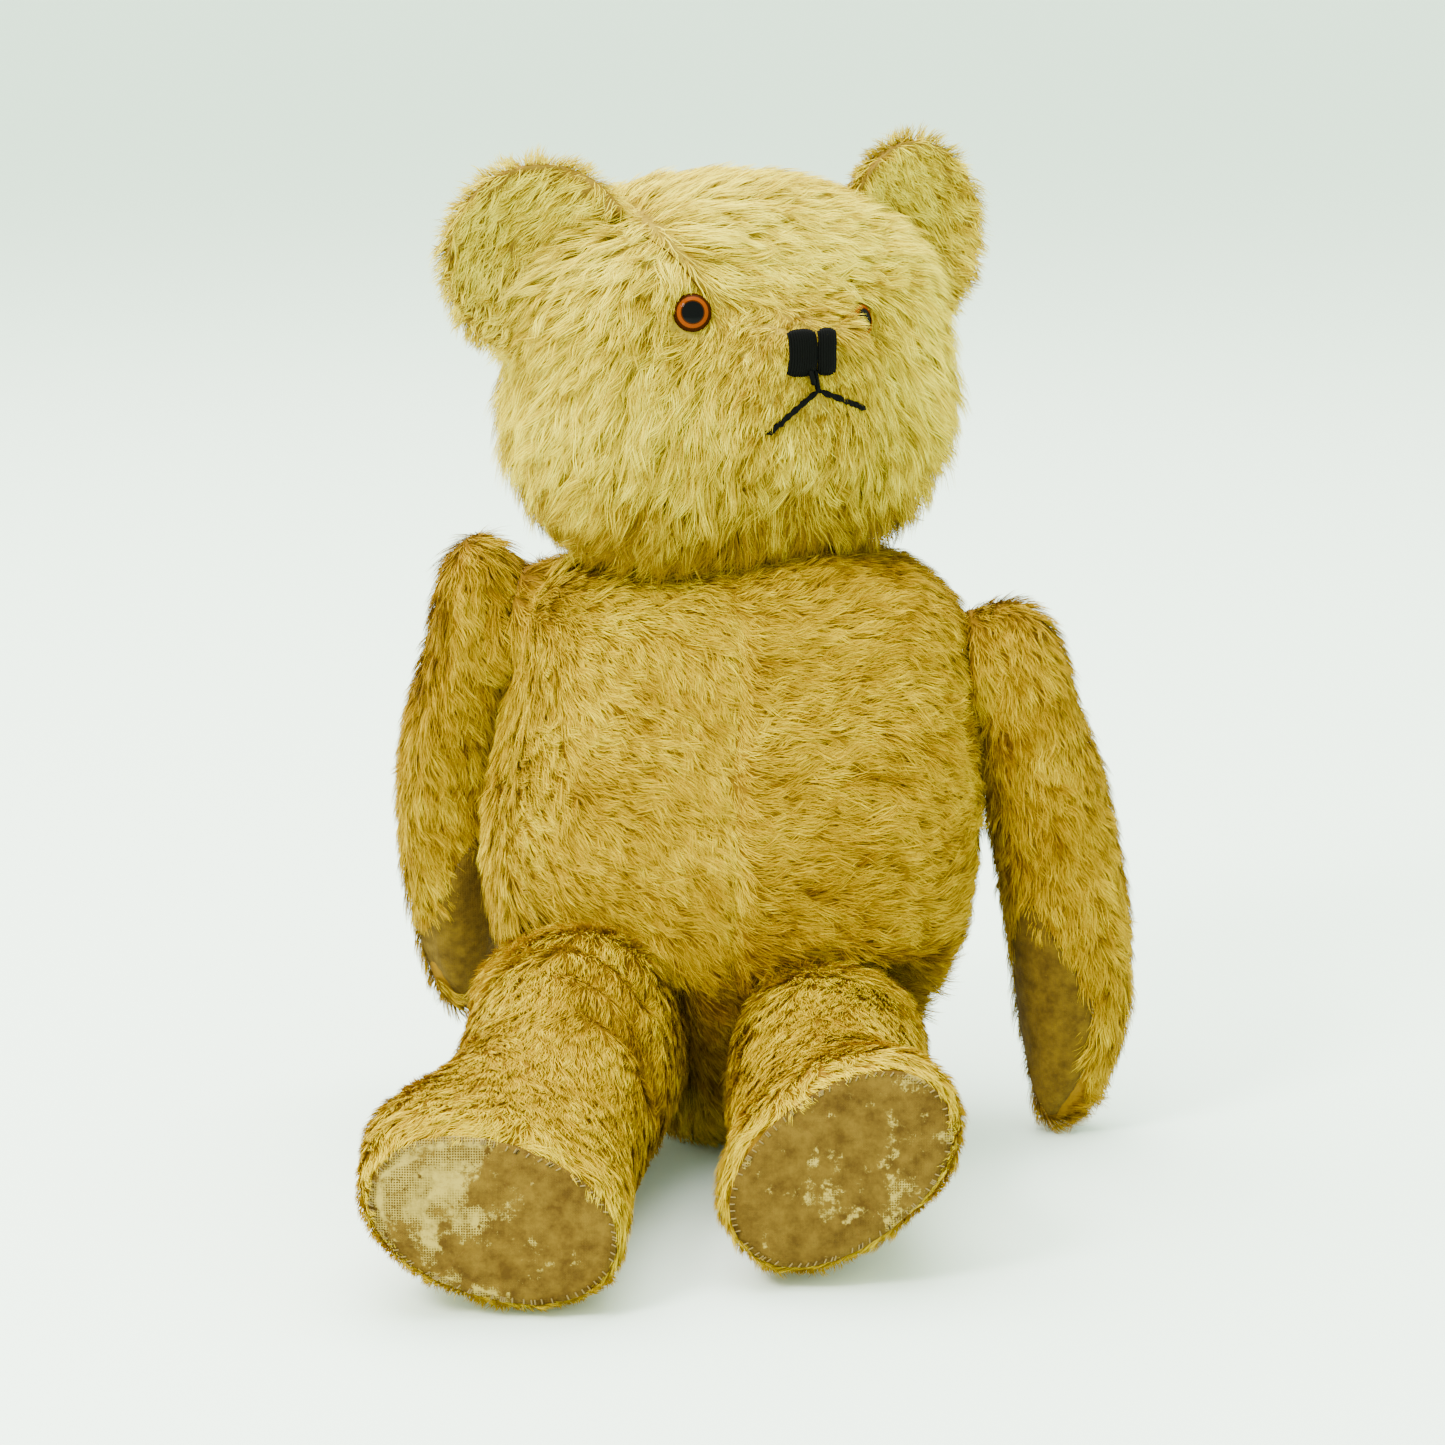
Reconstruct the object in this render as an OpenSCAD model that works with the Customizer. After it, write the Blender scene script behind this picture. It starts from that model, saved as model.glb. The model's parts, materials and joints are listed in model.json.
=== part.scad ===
// Jointed teddy bear, seated: five pinned disc joints hold a head, two arms and two legs on a torso.
// Millimetres. +Z is up, the bear faces -Y, and its left side is +X.
// The origin is on the surface that the bear sits on, straight below the middle of the neck.

/* [Torso] */
// Height of the torso, from the seat to the neck
torso_h = 214; // [210:1:218]
// Width of the belly
torso_w = 175; // [171:1:179]
// Depth of the belly
torso_d = 136; // [132:1:140]

/* [Head] */
// Width of the head across the cheeks
head_w = 160; // [156:1:164]
// Height of the head
head_h = 128; // [124:1:132]
// Length of the head, from its back to its nose
head_l = 122; // [118:1:126]
// Turn of the head to its left at rest
head_turn = 29; // [0:1:40]
// Lean of the head to its right at rest
head_lean = 1.5; // [0:0.5:4]
// Diameter of the rim of an ear
ear_d = 66; // [60:1:68]
// Diameter of a glass eye
eye_d = 13; // [11:0.5:14]
// Diameter of an eye's pupil
pupil_d = 7.5; // [6:0.5:8]

/* [Arms] */
// Length of an arm, from its top to the tip of its paw
arm_l = 192; // [188:1:194]
// Height of the left shoulder joint
shoulder_left_z = 170; // [168:1:174]
// Height of the right shoulder joint, which sits higher
shoulder_right_z = 186; // [182:1:188]
// Backward swing of the right arm at rest
arm_right_swing = 18; // [10:1:24]

/* [Legs] */
// Largest width of a foot pad, from its heel to its toe
foot_l = 82; // [78:1:84]
// Slope of the hip joints, down from level
hip_drop = 15; // [13:1:17]
// Yaw of the hip joints, forward from straight out
hip_yaw = 24; // [22:1:26]

/* [Joints] */
// Diameter of a shoulder joint's discs
shoulder_disc_d = 36; // [32:1:38]
// Diameter of the hip and neck joints' discs
hip_disc_d = 36; // [34:1:38]
// Thickness of the hardboard discs
disc_t = 3; // [2.5:0.1:3.2]
// Diameter of a cotter pin
pin_d = 3.2; // [2.8:0.1:3.4]
// Gap between the cloth of a limb and the cloth of the torso
joint_gap = 0.8; // [0.6:0.1:1]

/* [Cloth] */
// Thickness of the plush, backing and the roots of its pile
cloth = 2; // [1.6:0.1:2.2]
// Thickness of a felt pad
felt = 2; // [1.6:0.1:2.2]
// Thickness of the card in the soles
card = 2; // [1.6:0.1:2.2]

/* [Hidden] */

gold = "#c8a03c";
straw = "#cdb877";
felt_brown = "#8d7454";
wood_wool = "#e0cf9c";
hardboard = "#7a5230";
steel = "#a9acb0";
thread_black = "#141414";
thread_cream = "#e5dab8";
amber = "#d8791a";
card_grey = "#b59c72";

$fn = 48;
LEFT = 1;
RIGHT = -1;
ease = 0.2;          // gap between the stuffing and what it fills
washer_t = 1;
washer_d = 12;
pin_play = 0.05;     // running gap of a pin in the torso's disc
loop_r = 3.2;        // bend of a pin's eye
pin_leg_d = 1.8;     // folded legs of a pin
pin_eye_d = 2.4;     // wire of a pin's eye
wire_d = 1.4;        // wire of an eye's shank
pocket_l = 16;       // depth of the hollow that clears a pin's end
far = 400;

// ---- Smooth tables and skins ----

// Row of a table at a share s of its length, on a smooth curve through its rows
function row(table, s) =
    let (n = len(table) - 1, k = max(0, min(floor(s * n), n - 1)), f = s * n - k,
         a = table[max(k - 1, 0)], b = table[k], c = table[k + 1], d = table[min(k + 2, n)])
    b + 0.5 * f * ((c - a) + f * (2 * a - 5 * b + 4 * c - d + f * (3 * (b - c) + d - a)));

function unit(v) = v / norm(v);

// cos or sin, squared up for an outline between an oval (2) and a rectangle
function bulge(x, squareness) = sign(x) * pow(abs(x), 2 / squareness);

// Ring of points about c, with half-axes u and v
function ring(c, u, v, squareness, count) =
    [for (i = [0:count - 1])
        c + u * bulge(cos(360 * i / count), squareness) + v * bulge(sin(360 * i / count), squareness)];

// Closed solid through rings of equal count, flat at both ends
module skin(rings) {
    n = len(rings[0]);
    last = len(rings) - 1;
    walls = [for (k = [0:last - 1], i = [0:n - 1])
        let (a = k * n + i, b = k * n + (i + 1) % n) each [[a, a + n, b + n], [a, b + n, b]]];
    polyhedron([for (r = rings) each r],
        concat([[for (i = [0:n - 1]) i]], walls, [[for (i = [n - 1:-1:0]) last * n + i]]));
}

// Everything on the outer side of a plane through the origin of an axis frame
module outward(from) {
    translate([-far / 2, -far / 2, from]) cube(far);
}

// ---- Places of the joints ----

neck_at = [0, 0, torso_h];
shoulder_left_at = [82, 0, shoulder_left_z];
shoulder_right_at = [-74, 8, shoulder_right_z];
shoulder_right_yaw = -15;
hip_left_at = [12.5, -32, 47.5];
hip_right_at = [-26.7, -27.8, 57];

function hip_axis(side) =
    [side * cos(hip_drop) * cos(hip_yaw), -cos(hip_drop) * sin(hip_yaw), -sin(hip_drop)];

// Child drawn with its +Z along a direction from a point
module along(point, axis) {
    translate(point) rotate([0, acos(unit(axis).z), atan2(axis.y, axis.x)]) children();
}

// Child drawn in an arm's own frame: +X out from the torso, +Y back, -Z down the arm
module at_shoulder(side) {
    if (side == LEFT)
        translate(shoulder_left_at) children();
    else
        translate(shoulder_right_at) rotate([0, 0, shoulder_right_yaw]) mirror([1, 0, 0])
            rotate([arm_right_swing, 0, 0]) children();
}

// Child drawn with +Z out from the torso, along the axis of a joint
module at_neck() { translate(neck_at) children(); }
module at_shoulder_axis(side) { at_shoulder(side) rotate([0, 90, 0]) children(); }
module at_hip(side) {
    along(side == LEFT ? hip_left_at : hip_right_at, hip_axis(side)) children();
}
module at_head() { translate(neck_at) rotate([0, -head_lean, head_turn]) children(); }

// ---- Disc joint: pin, washers and discs, with +Z from the torso into the limb ----

stack_in = joint_gap / 2 + cloth;      // from the middle of the gap to a disc
stack_washer = stack_in + disc_t;
stack_end = stack_washer + washer_t;

module disc(d, bore, from) {
    translate([0, 0, from]) difference() {
        cylinder(d = d, h = disc_t);
        translate([0, 0, -1]) cylinder(d = bore, h = disc_t + 2);
    }
}

module washer(bore, from) {
    translate([0, 0, from]) difference() {
        cylinder(d = washer_d, h = washer_t);
        translate([0, 0, -1]) cylinder(d = bore, h = washer_t + 2);
    }
}

module torso_disc(d) { color(hardboard) disc(d, pin_d + 2 * pin_play, -stack_washer); }
module torso_washer() { color(steel) washer(pin_d + 2 * pin_play, -stack_end); }
module limb_disc(d) { color(hardboard) disc(d, pin_d, stack_in); }
module limb_washer() { color(steel) washer(pin_d, stack_washer); }

// Cotter pin: an eye in the limb, and two legs folded flat over the washer in the torso
module pin() {
    legs_z = -stack_end - pin_leg_d / 2 - 0.1;
    color(steel) union() {
        translate([0, 0, legs_z - pin_leg_d]) cylinder(d = pin_d, h = stack_end - legs_z + pin_leg_d + 1);
        translate([0, 0, legs_z]) rotate([0, 90, 0]) cylinder(d = pin_leg_d, h = 4 * loop_r, center = true);
        translate([0, 0, stack_end + loop_r + pin_eye_d / 2]) rotate([90, 0, 0])
            rotate_extrude() translate([loop_r, 0]) circle(d = pin_eye_d);
    }
}

// Hollow in a stuffing that clears a joint's disc, washer and pin end
module joint_pocket(d, side) {
    mirror([0, 0, side == "torso" ? 1 : 0]) {
        translate([0, 0, -cloth]) cylinder(d = d + 2 * ease + 1, h = stack_end + ease + cloth);
        cylinder(r = 2 * loop_r + pin_d, h = stack_end + pocket_l);
    }
}

// Hole in cloth for a pin
module pin_hole() { cylinder(d = pin_d + 1.4, h = 30, center = true); }

// ---- Torso ----

// Rows from the seat to the neck: height, half-width, half-depth and middle, as shares of the torso
torso_rows = [
    [0, 0.32, 0.50, 0.20], [0.03, 0.42, 0.64, 0.14], [0.09, 0.56, 0.78, 0.07], [0.18, 0.72, 0.89, 0.02],
    [0.29, 0.88, 0.96, -0.03], [0.42, 0.98, 1.00, -0.06], [0.56, 1.00, 0.99, -0.06],
    [0.70, 0.945, 0.93, -0.03], [0.82, 0.91, 0.85, 0], [0.905, 0.88, 0.77, 0.01],
    [0.96, 0.75, 0.64, 0.01], [0.988, 0.56, 0.50, 0], [1, 0.40, 0.40, 0]];
torso_rings = 22;
torso_sides = 28;
torso_sway = 4;          // how far the shoulders lean to the bear's left
torso_squareness = 2.4;
shoulder_rise = 0.06;    // slope of the shoulders, up towards the right

function torso_ring(s, inset) =
    let (r = row(torso_rows, s), z = inset + r[0] * (torso_h - 2 * inset),
         tilt = shoulder_rise * r[0] * r[0] * min(1, (1 - r[0]) / 0.12),
         up = min(max((r[0] - 0.45) / 0.35, 0), 1))
    [for (p = ring([torso_sway * up * up * (3 - 2 * up), r[3] * torso_d / 2, z], [r[1] * torso_w / 2 - inset, 0, 0],
                   [0, r[2] * torso_d / 2 - inset, 0], torso_squareness, torso_sides))
        p - [0, 0, p.x * tilt]];

module torso_form(inset) {
    skin([for (k = [0:torso_rings]) torso_ring(k / torso_rings, inset)]);
}

// Flat round seat for an arm's disc, standing out of the side
module shoulder_seat(side, inset) {
    at_shoulder_axis(side) translate([0, 0, -18])
        cylinder(d = shoulder_disc_d + 6 - 2 * inset, h = 18 - joint_gap / 2 - inset);
}

// Room in front of the seat, so that it is flat all over
module shoulder_room(side, inset) {
    at_shoulder_axis(side) translate([0, 0, -joint_gap / 2 - inset])
        cylinder(d = shoulder_disc_d + 12, h = 30);
}

// Room for a leg: round about the hip axis, over the thigh at rest, and down to where it stands
socket_r = 42;
socket_l = 60;
module hip_socket(side, inset) {
    r = socket_r + inset;
    thigh = leg_middle(side, 0.3);
    forward = leg_middle(side, 0.5) - thigh + [0, 0, 3];
    at_hip(side) translate([0, 0, -joint_gap / 2 - inset]) cylinder(r = r, h = 120);
    intersection() {
        for (way = [forward, [0, -5, -socket_l]]) along(thigh, way) cylinder(r = r, h = socket_l);
        at_hip(side) outward(-joint_gap / 2 - inset);
    }
}

module torso_solid(inset) {
    difference() {
        union() {
            torso_form(inset);
            for (side = [LEFT, RIGHT]) shoulder_seat(side, inset);
        }
        for (side = [LEFT, RIGHT]) {
            shoulder_room(side, inset);
            hip_socket(side, inset);
        }
    }
}

module torso_shell() {
    difference() {
        torso_solid(0);
        torso_solid(cloth);
        at_neck() pin_hole();
        for (side = [LEFT, RIGHT]) {
            at_shoulder_axis(side) pin_hole();
            at_hip(side) pin_hole();
        }
    }
}

module torso_cover(side) {
    color(gold) intersection() {
        torso_shell();
        translate([side == LEFT ? 0 : -far, -far / 2, -1]) cube(far);
    }
}

module torso_stuffing() {
    color(wood_wool) difference() {
        torso_solid(cloth + ease);
        at_neck() joint_pocket(hip_disc_d, "torso");
        for (side = [LEFT, RIGHT]) {
            at_shoulder_axis(side) joint_pocket(shoulder_disc_d, "torso");
            at_hip(side) joint_pocket(hip_disc_d, "torso");
        }
    }
}

// Hand stitches that close the seam down the back
closing_rows = 9;
module closing_thread() {
    color(thread_cream) for (k = [0:closing_rows - 1]) {
        s = 0.48 + 0.035 * k;
        r = row(torso_rows, s);
        back = (r[3] + r[2]) * torso_d / 2;
        translate([0, back + 0.7, r[0] * torso_h]) rotate([0, 90, 0]) cylinder(d = 1, h = 7, center = true);
    }
}

// ---- Head, in its own frame: the neck's middle is the origin, and it faces -Y ----

// Rows from the back to the nose: place, half-width, top and bottom, as shares of the head
head_rows = [
    [0, 0.08, 0.60, 0.40], [0.03, 0.36, 0.78, 0.22], [0.09, 0.62, 0.89, 0.10], [0.19, 0.83, 0.96, 0.00],
    [0.32, 0.96, 1.00, -0.05], [0.46, 1.00, 1.00, -0.06], [0.60, 0.985, 0.975, -0.05],
    [0.70, 0.91, 0.92, -0.01], [0.765, 0.76, 0.84, 0.06], [0.81, 0.52, 0.75, 0.14],
    [0.85, 0.385, 0.70, 0.20], [0.90, 0.34, 0.67, 0.24], [0.955, 0.30, 0.655, 0.28],
    [0.985, 0.23, 0.63, 0.33], [1, 0.13, 0.58, 0.41]];
head_rings = 24;
head_sides = 28;
head_back = 56;          // from the neck's middle to the back of the head
head_squareness = 2.45;

function head_ring(s, inset) =
    let (r = row(head_rows, s), y = head_back - inset - r[0] * (head_l - 2 * inset),
         top = r[2] * head_h - inset, bottom = r[3] * head_h + inset)
    ring([0, y, (top + bottom) / 2], [max(r[1] * head_w / 2 - inset, 1), 0, 0],
         [0, 0, max((top - bottom) / 2, 1)], head_squareness, head_sides);

// The neck's end is flat and level, so the lean tips the head about it
module head_solid(inset) {
    intersection() {
        at_head() skin([for (k = [0:head_rings]) head_ring(k / head_rings, inset)]);
        at_neck() outward(joint_gap / 2 + inset);
    }
}

// The eyes aren't quite level: the left one sits lower and nearer to the nose
eye_left_at = [28, -44.5, 80];
eye_right_at = [-35, -41, 87];
eye_out = [0.42, -0.9, 0.12];   // way that the left eye looks

module at_eye(side) {
    at_head() along(side == LEFT ? eye_left_at : eye_right_at, [side * eye_out.x, eye_out.y, eye_out.z]) children();
}

// Hollow for a glass eye and its shank, let into the cloth and the stuffing
module eye_pocket(side) {
    at_eye(side) {
        cylinder(d = eye_d + 0.2, h = 20);
        translate([0, 0, -9]) cylinder(d = wire_d + 0.6, h = 12);
        translate([0, 0, -15]) cylinder(r = loop_r + wire_d, h = 9);
    }
}

module head_shell() {
    difference() {
        head_solid(0);
        head_solid(cloth);
        at_neck() pin_hole();
        for (side = [LEFT, RIGHT]) eye_pocket(side);
    }
}

// Outline from above of the strip that runs from the nose over the crown to the neck
gusset_rows = [[-80, 7], [-62, 8], [-48, 15], [-34, 28], [-8, 41], [16, 36], [40, 21], [70, 11]];
gusset_low = 58;

module gusset_space() {
    at_head() intersection() {
        translate([0, 0, gusset_low]) linear_extrude(100)
            polygon(concat([for (r = gusset_rows) [r[1], r[0]]],
                           [for (k = [len(gusset_rows) - 1:-1:0]) [-gusset_rows[k][1], gusset_rows[k][0]]]));
    }
}

module head_side(side) {
    color(straw) difference() {
        intersection() {
            head_shell();
            at_head() translate([side == LEFT ? 0 : -far, -far / 2, -far / 2]) cube(far);
        }
        gusset_space();
    }
}

module head_gusset() { color(straw) intersection() { head_shell(); gusset_space(); } }

module head_stuffing() {
    color(wood_wool) difference() {
        head_solid(cloth + ease);
        at_neck() joint_pocket(hip_disc_d, "limb");
        for (side = [LEFT, RIGHT]) eye_pocket(side);
    }
}

// Cupped round ear, sewn on across the corner of the head
ear_x = 73;
ear_z = 104;
ear_cup = 46;            // radius of the cupped cloth
ear_t = 5;
module ear(side) {
    color(straw) difference() {
        at_head() translate([side * ear_x, -4, ear_z]) rotate([0, 0, side * 14]) rotate([90, 0, 0])
            intersection() {
                difference() {
                    translate([0, 0, sqrt(ear_cup * ear_cup - ear_d * ear_d / 4)]) sphere(ear_cup);
                    translate([0, 0, ear_t + sqrt(ear_cup * ear_cup - ear_d * ear_d / 4)]) sphere(ear_cup);
                }
                translate([0, 0, -far / 2]) cylinder(d = ear_d, h = far / 2 + ear_t);
            }
        head_solid(0);
    }
}

// Blown glass eye: a clear amber dome over a black pupil, on a looped wire
dome_r = eye_d * 0.56;
dome_drop = sqrt(dome_r * dome_r - eye_d * eye_d / 4);
pupil_t = 1.2;
module eye_glass(side) {
    color(amber) at_eye(side) difference() {
        union() {
            cylinder(d = eye_d, h = 2);
            intersection() {
                translate([0, 0, 2 - dome_drop]) sphere(dome_r);
                translate([0, 0, 2]) cylinder(d = eye_d, h = dome_r);
            }
        }
        translate([0, 0, -1]) cylinder(d = pupil_d + 0.1, h = pupil_t + 1.05);
    }
}

module eye_pupil(side) { color(thread_black) at_eye(side) cylinder(d = pupil_d, h = pupil_t); }

module eye_shank(side) {
    color(steel) at_eye(side) {
        translate([0, 0, -8]) cylinder(d = wire_d, h = 8);
        translate([0, 0, -8 - loop_r + wire_d]) rotate([90, 0, 0])
            rotate_extrude() translate([loop_r - wire_d / 2, 0]) circle(d = wire_d);
    }
}

// Satin-stitched nose over the front of the snout
nose_w = 16;
nose_h = 14;
nose_x = -3.5;
nose_z = 73.5;
nose_y = -66;
module nose_stitching() {
    color(thread_black) difference() {
        at_head() translate([nose_x, nose_y, nose_z]) rotate([-8, 0, 0]) hull() for (x = [-1, 1], z = [-1, 1])
            translate([x * (nose_w / 2 - 2.5), 3, z * (nose_h / 2 - 2.5)]) rotate([90, 0, 0])
                cylinder(r = 2.5, h = 5, $fn = 16);
        head_solid(0);
    }
}

// Thread mouth: a stem below the nose and two arms that follow the snout
mouth_stem = [[-2, -66.6, 64.8], [-1, -66.6, 60]];
mouth_arm_left = [[-1, -66.6, 60], [11, -66.3, 56.5], [17.5, -64.6, 54], [21, -61.8, 52]];
mouth_arm_right = [[-1, -66.6, 60], [-11, -66.3, 54], [-17.5, -64.6, 49], [-21.5, -61.8, 45]];
thread_d = 2.2;
module thread_line(points) {
    for (k = [1:len(points) - 1]) {
        way = points[k] - points[k - 1];
        along(points[k - 1], way) translate([0, 0, -thread_d / 4]) cylinder(d = thread_d, h = norm(way) + thread_d / 2);
    }
}
module mouth_stitching() {
    color(thread_black) difference() {
        at_head() {
            thread_line(mouth_stem);
            thread_line(mouth_arm_left);
            thread_line(mouth_arm_right);
        }
        head_solid(0);
    }
}

// ---- Arms, in an arm's own frame: +X out from the torso, -Z down the arm ----

// Rows from the top to the paw's tip: height, middle out, middle back, half-thickness, half-depth
arm_left_rows = [
    [24, 15.5, 0, 3, 4], [19, 17, 0, 11, 14], [6, 18.5, -1, 17.5, 21], [-14, 22.5, -1, 19, 24],
    [-42, 30, -1, 21.5, 26], [-73, 36.5, -1, 22, 26], [-104, 40.5, -1, 21.5, 24],
    [-131, 42, -2, 19, 20], [-152, 40.5, -3, 14, 15], [-163, 37, -4, 9, 9.5], [-168, 35, -4, 2.5, 3.5]];
arm_right_rows = [
    [31, 13, 0, 3, 4], [26, 13.8, 0, 9, 14], [12, 14.8, -1, 13, 21], [-10, 18.5, -2, 14, 24],
    [-38, 28.5, -3, 16.5, 26], [-67, 33, -3, 18.5, 26], [-94, 35, -5, 18.5, 24],
    [-120, 35, -8, 16.5, 20], [-143, 35, -11, 12.5, 15], [-155, 35.5, -13, 8, 9], [-161, 36, -14, 2.5, 3.5]];
arm_rings = 18;
arm_sides = 22;
arm_own_l = 192;

function arm_rows(side) = side == LEFT ? arm_left_rows : arm_right_rows;

function arm_ring(side, s, inset) =
    let (r = row(arm_rows(side), s), top = arm_rows(side)[0][0], k = (arm_l - 2 * inset) / arm_own_l)
    ring([r[1], r[2], top - inset - (top - r[0]) * k], [max(r[3] - inset, 0.6), 0, 0],
         [0, max(r[4] - inset, 0.6), 0], 2.1, arm_sides);

module arm_form(side, inset) {
    intersection() {
        union() {
            skin([for (k = [arm_rings:-1:0]) arm_ring(side, k / arm_rings, inset)]);
            rotate([0, 90, 0]) cylinder(d = shoulder_disc_d + 6 - 2 * inset, h = 14 - inset);
        }
        translate([joint_gap / 2 + inset, -far / 2, -far / 2]) cube(far);
    }
}

// Pointed oval column that cuts a felt paw pad out of an arm's cloth, on its inner front side
pad_turn = 35;           // way that the pad faces, from straight in to the front
pad_mid = -122;
pad_half_l = 41;
pad_half_w = 15;
module pad_space() {
    bow = (pad_half_l * pad_half_l + pad_half_w * pad_half_w) / (2 * pad_half_w);
    translate([38, -9, pad_mid]) rotate([0, 0, pad_turn]) rotate([0, -90, 0]) intersection() {
        translate([0, bow - pad_half_w, 0]) cylinder(r = bow, h = 60, $fn = 96);
        translate([0, pad_half_w - bow, 0]) cylinder(r = bow, h = 60, $fn = 96);
    }
}

module arm_shell(side) {
    difference() {
        arm_form(side, 0);
        arm_form(side, cloth);
        rotate([0, 90, 0]) pin_hole();
    }
}

module arm_cover(side) {
    color(gold) at_shoulder(side) difference() { arm_shell(side); pad_space(); }
}

module arm_paw_pad(side) {
    color(felt_brown) at_shoulder(side) intersection() { arm_shell(side); pad_space(); }
}

module arm_stuffing(side) {
    color(wood_wool) at_shoulder(side) difference() {
        arm_form(side, cloth + ease);
        rotate([0, 90, 0]) joint_pocket(shoulder_disc_d, "limb");
    }
}

// ---- Legs, in the bear's frame at rest ----

// Rows from the hip's end to the sole: middle x, y and z, half-length to the toe, half-width, toe angle
leg_left_rows = [
    [37, -4, 37, 5, 5, 20], [37, -7, 37, 14, 14, 20], [36.5, -17, 37, 29, 28, 20], [35, -40, 37, 36, 34.5, 20],
    [32.5, -65, 36.5, 36, 33.5, 22], [32, -90, 36, 36, 32, 28], [33, -118, 36.5, 35, 30.5, 38],
    [35, -143, 38.5, 37.5, 29.5, 48], [35, -162, 40.5, 43, 30.5, 51], [35, -173, 40.7, 44.5, 30.5, 51],
    [35, -178, 40.5, foot_l / 2 + 1, 27.5, 51]];
leg_right_rows = [
    [-54, -1, 48, 5, 5, 20], [-54, -4, 48, 14, 14, 20], [-54, -15, 48, 30, 30, 20], [-54, -38, 48, 39, 38.5, 20],
    [-52, -66, 46, 37.5, 37.5, 24], [-55, -95, 44.5, 38, 36.5, 34], [-62, -126, 39, 39, 32.5, 50],
    [-69, -156, 35, 41, 30, 65], [-72.5, -184, 33, 42.5, 30, 71], [-74, -198, 32.5, 44.5, 30, 71],
    [-74, -203, 32, foot_l / 2 + 1, 27, 71]];
leg_sides = 24;
leg_shares = [0.02, 0.055, 0.10, 0.15, 0.21, 0.28, 0.36, 0.44, 0.52, 0.60, 0.68, 0.75, 0.81, 0.86];

function leg_rows(side) = side == LEFT ? leg_left_rows : leg_right_rows;
function leg_middle(side, s) = let (r = row(leg_rows(side), s)) [r[0], r[1], r[2]];
function leg_way(side, s) = unit(leg_middle(side, min(s + 0.02, 1)) - leg_middle(side, max(s - 0.02, 0)));

// Ring of a leg at a share s, in a plane that turns square to -Y at the sole
function leg_ring(side, s, inset, drop = 0) =
    let (r = row(leg_rows(side), s), raw = leg_way(side, s),
         way = unit(raw * (1 - s * s) + [0, -1, 0] * s * s),
         toe_up = [side * sin(r[5]), 0, cos(r[5])],
         toe = unit(toe_up - way * (toe_up * way)), across = cross(way, toe))
    ring([r[0], r[1], r[2]] + way * drop, toe * max(r[3] - inset, 0.6), across * max(r[4] - inset, 0.6),
         2.15, leg_sides);

// Sole end of a leg: rings square to -Y, at a depth behind the sole
function sole_ring(side, depth, inset) = leg_ring(side, 1, inset, -depth);

module leg_form(side, inset, sole_depth) {
    intersection() {
        skin(concat([for (s = leg_shares) leg_ring(side, s, inset, inset * max(1.2 - s / 0.1, 0))],
                    [sole_ring(side, felt + card + 1, inset), sole_ring(side, sole_depth, inset)]));
        at_hip(side) outward(joint_gap / 2 + inset);
    }
}

module sole_plate(side, depth, t) {
    skin([sole_ring(side, depth + t, cloth), sole_ring(side, depth, cloth)]);
}

module leg_cover(side) {
    color(gold) difference() {
        leg_form(side, 0, 0);
        leg_form(side, cloth, -1);
        at_hip(side) pin_hole();
    }
}

module leg_foot_pad(side) { color(felt_brown) sole_plate(side, 0, felt); }
module leg_sole_card(side) { color(card_grey) sole_plate(side, felt, card); }

module leg_stuffing(side) {
    color(wood_wool) difference() {
        leg_form(side, cloth + ease, felt + card + ease);
        at_hip(side) joint_pocket(hip_disc_d, "limb");
    }
}

// ---- The bear ----

torso_cover(LEFT);  // torso_cover_left
torso_cover(RIGHT);  // torso_cover_right
torso_stuffing();
closing_thread();
at_neck() torso_disc(hip_disc_d);  // neck_disc_torso
at_neck() torso_washer();  // neck_washer_torso
at_shoulder_axis(LEFT) torso_disc(shoulder_disc_d);  // shoulder_left_disc_torso
at_shoulder_axis(LEFT) torso_washer();  // shoulder_left_washer_torso
at_shoulder_axis(RIGHT) torso_disc(shoulder_disc_d);  // shoulder_right_disc_torso
at_shoulder_axis(RIGHT) torso_washer();  // shoulder_right_washer_torso
at_hip(LEFT) torso_disc(hip_disc_d);  // hip_left_disc_torso
at_hip(LEFT) torso_washer();  // hip_left_washer_torso
at_hip(RIGHT) torso_disc(hip_disc_d);  // hip_right_disc_torso
at_hip(RIGHT) torso_washer();  // hip_right_washer_torso
head_side(LEFT);  // head_side_left
head_side(RIGHT);  // head_side_right
head_gusset();
head_stuffing();
ear(LEFT);  // ear_left
ear(RIGHT);  // ear_right
eye_glass(LEFT);  // eye_left_glass
eye_pupil(LEFT);  // eye_left_pupil
eye_shank(LEFT);  // eye_left_shank
eye_glass(RIGHT);  // eye_right_glass
eye_pupil(RIGHT);  // eye_right_pupil
eye_shank(RIGHT);  // eye_right_shank
nose_stitching();
mouth_stitching();
at_neck() limb_disc(hip_disc_d);  // neck_disc_head
at_neck() limb_washer();  // neck_washer_head
at_neck() pin();  // neck_pin
arm_cover(LEFT);  // arm_left_cover
arm_paw_pad(LEFT);  // arm_left_paw_pad
arm_stuffing(LEFT);  // arm_left_stuffing
at_shoulder_axis(LEFT) limb_disc(shoulder_disc_d);  // shoulder_left_disc_arm
at_shoulder_axis(LEFT) limb_washer();  // shoulder_left_washer_arm
at_shoulder_axis(LEFT) pin();  // shoulder_left_pin
arm_cover(RIGHT);  // arm_right_cover
arm_paw_pad(RIGHT);  // arm_right_paw_pad
arm_stuffing(RIGHT);  // arm_right_stuffing
at_shoulder_axis(RIGHT) limb_disc(shoulder_disc_d);  // shoulder_right_disc_arm
at_shoulder_axis(RIGHT) limb_washer();  // shoulder_right_washer_arm
at_shoulder_axis(RIGHT) pin();  // shoulder_right_pin
leg_cover(LEFT);  // leg_left_cover
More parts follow.
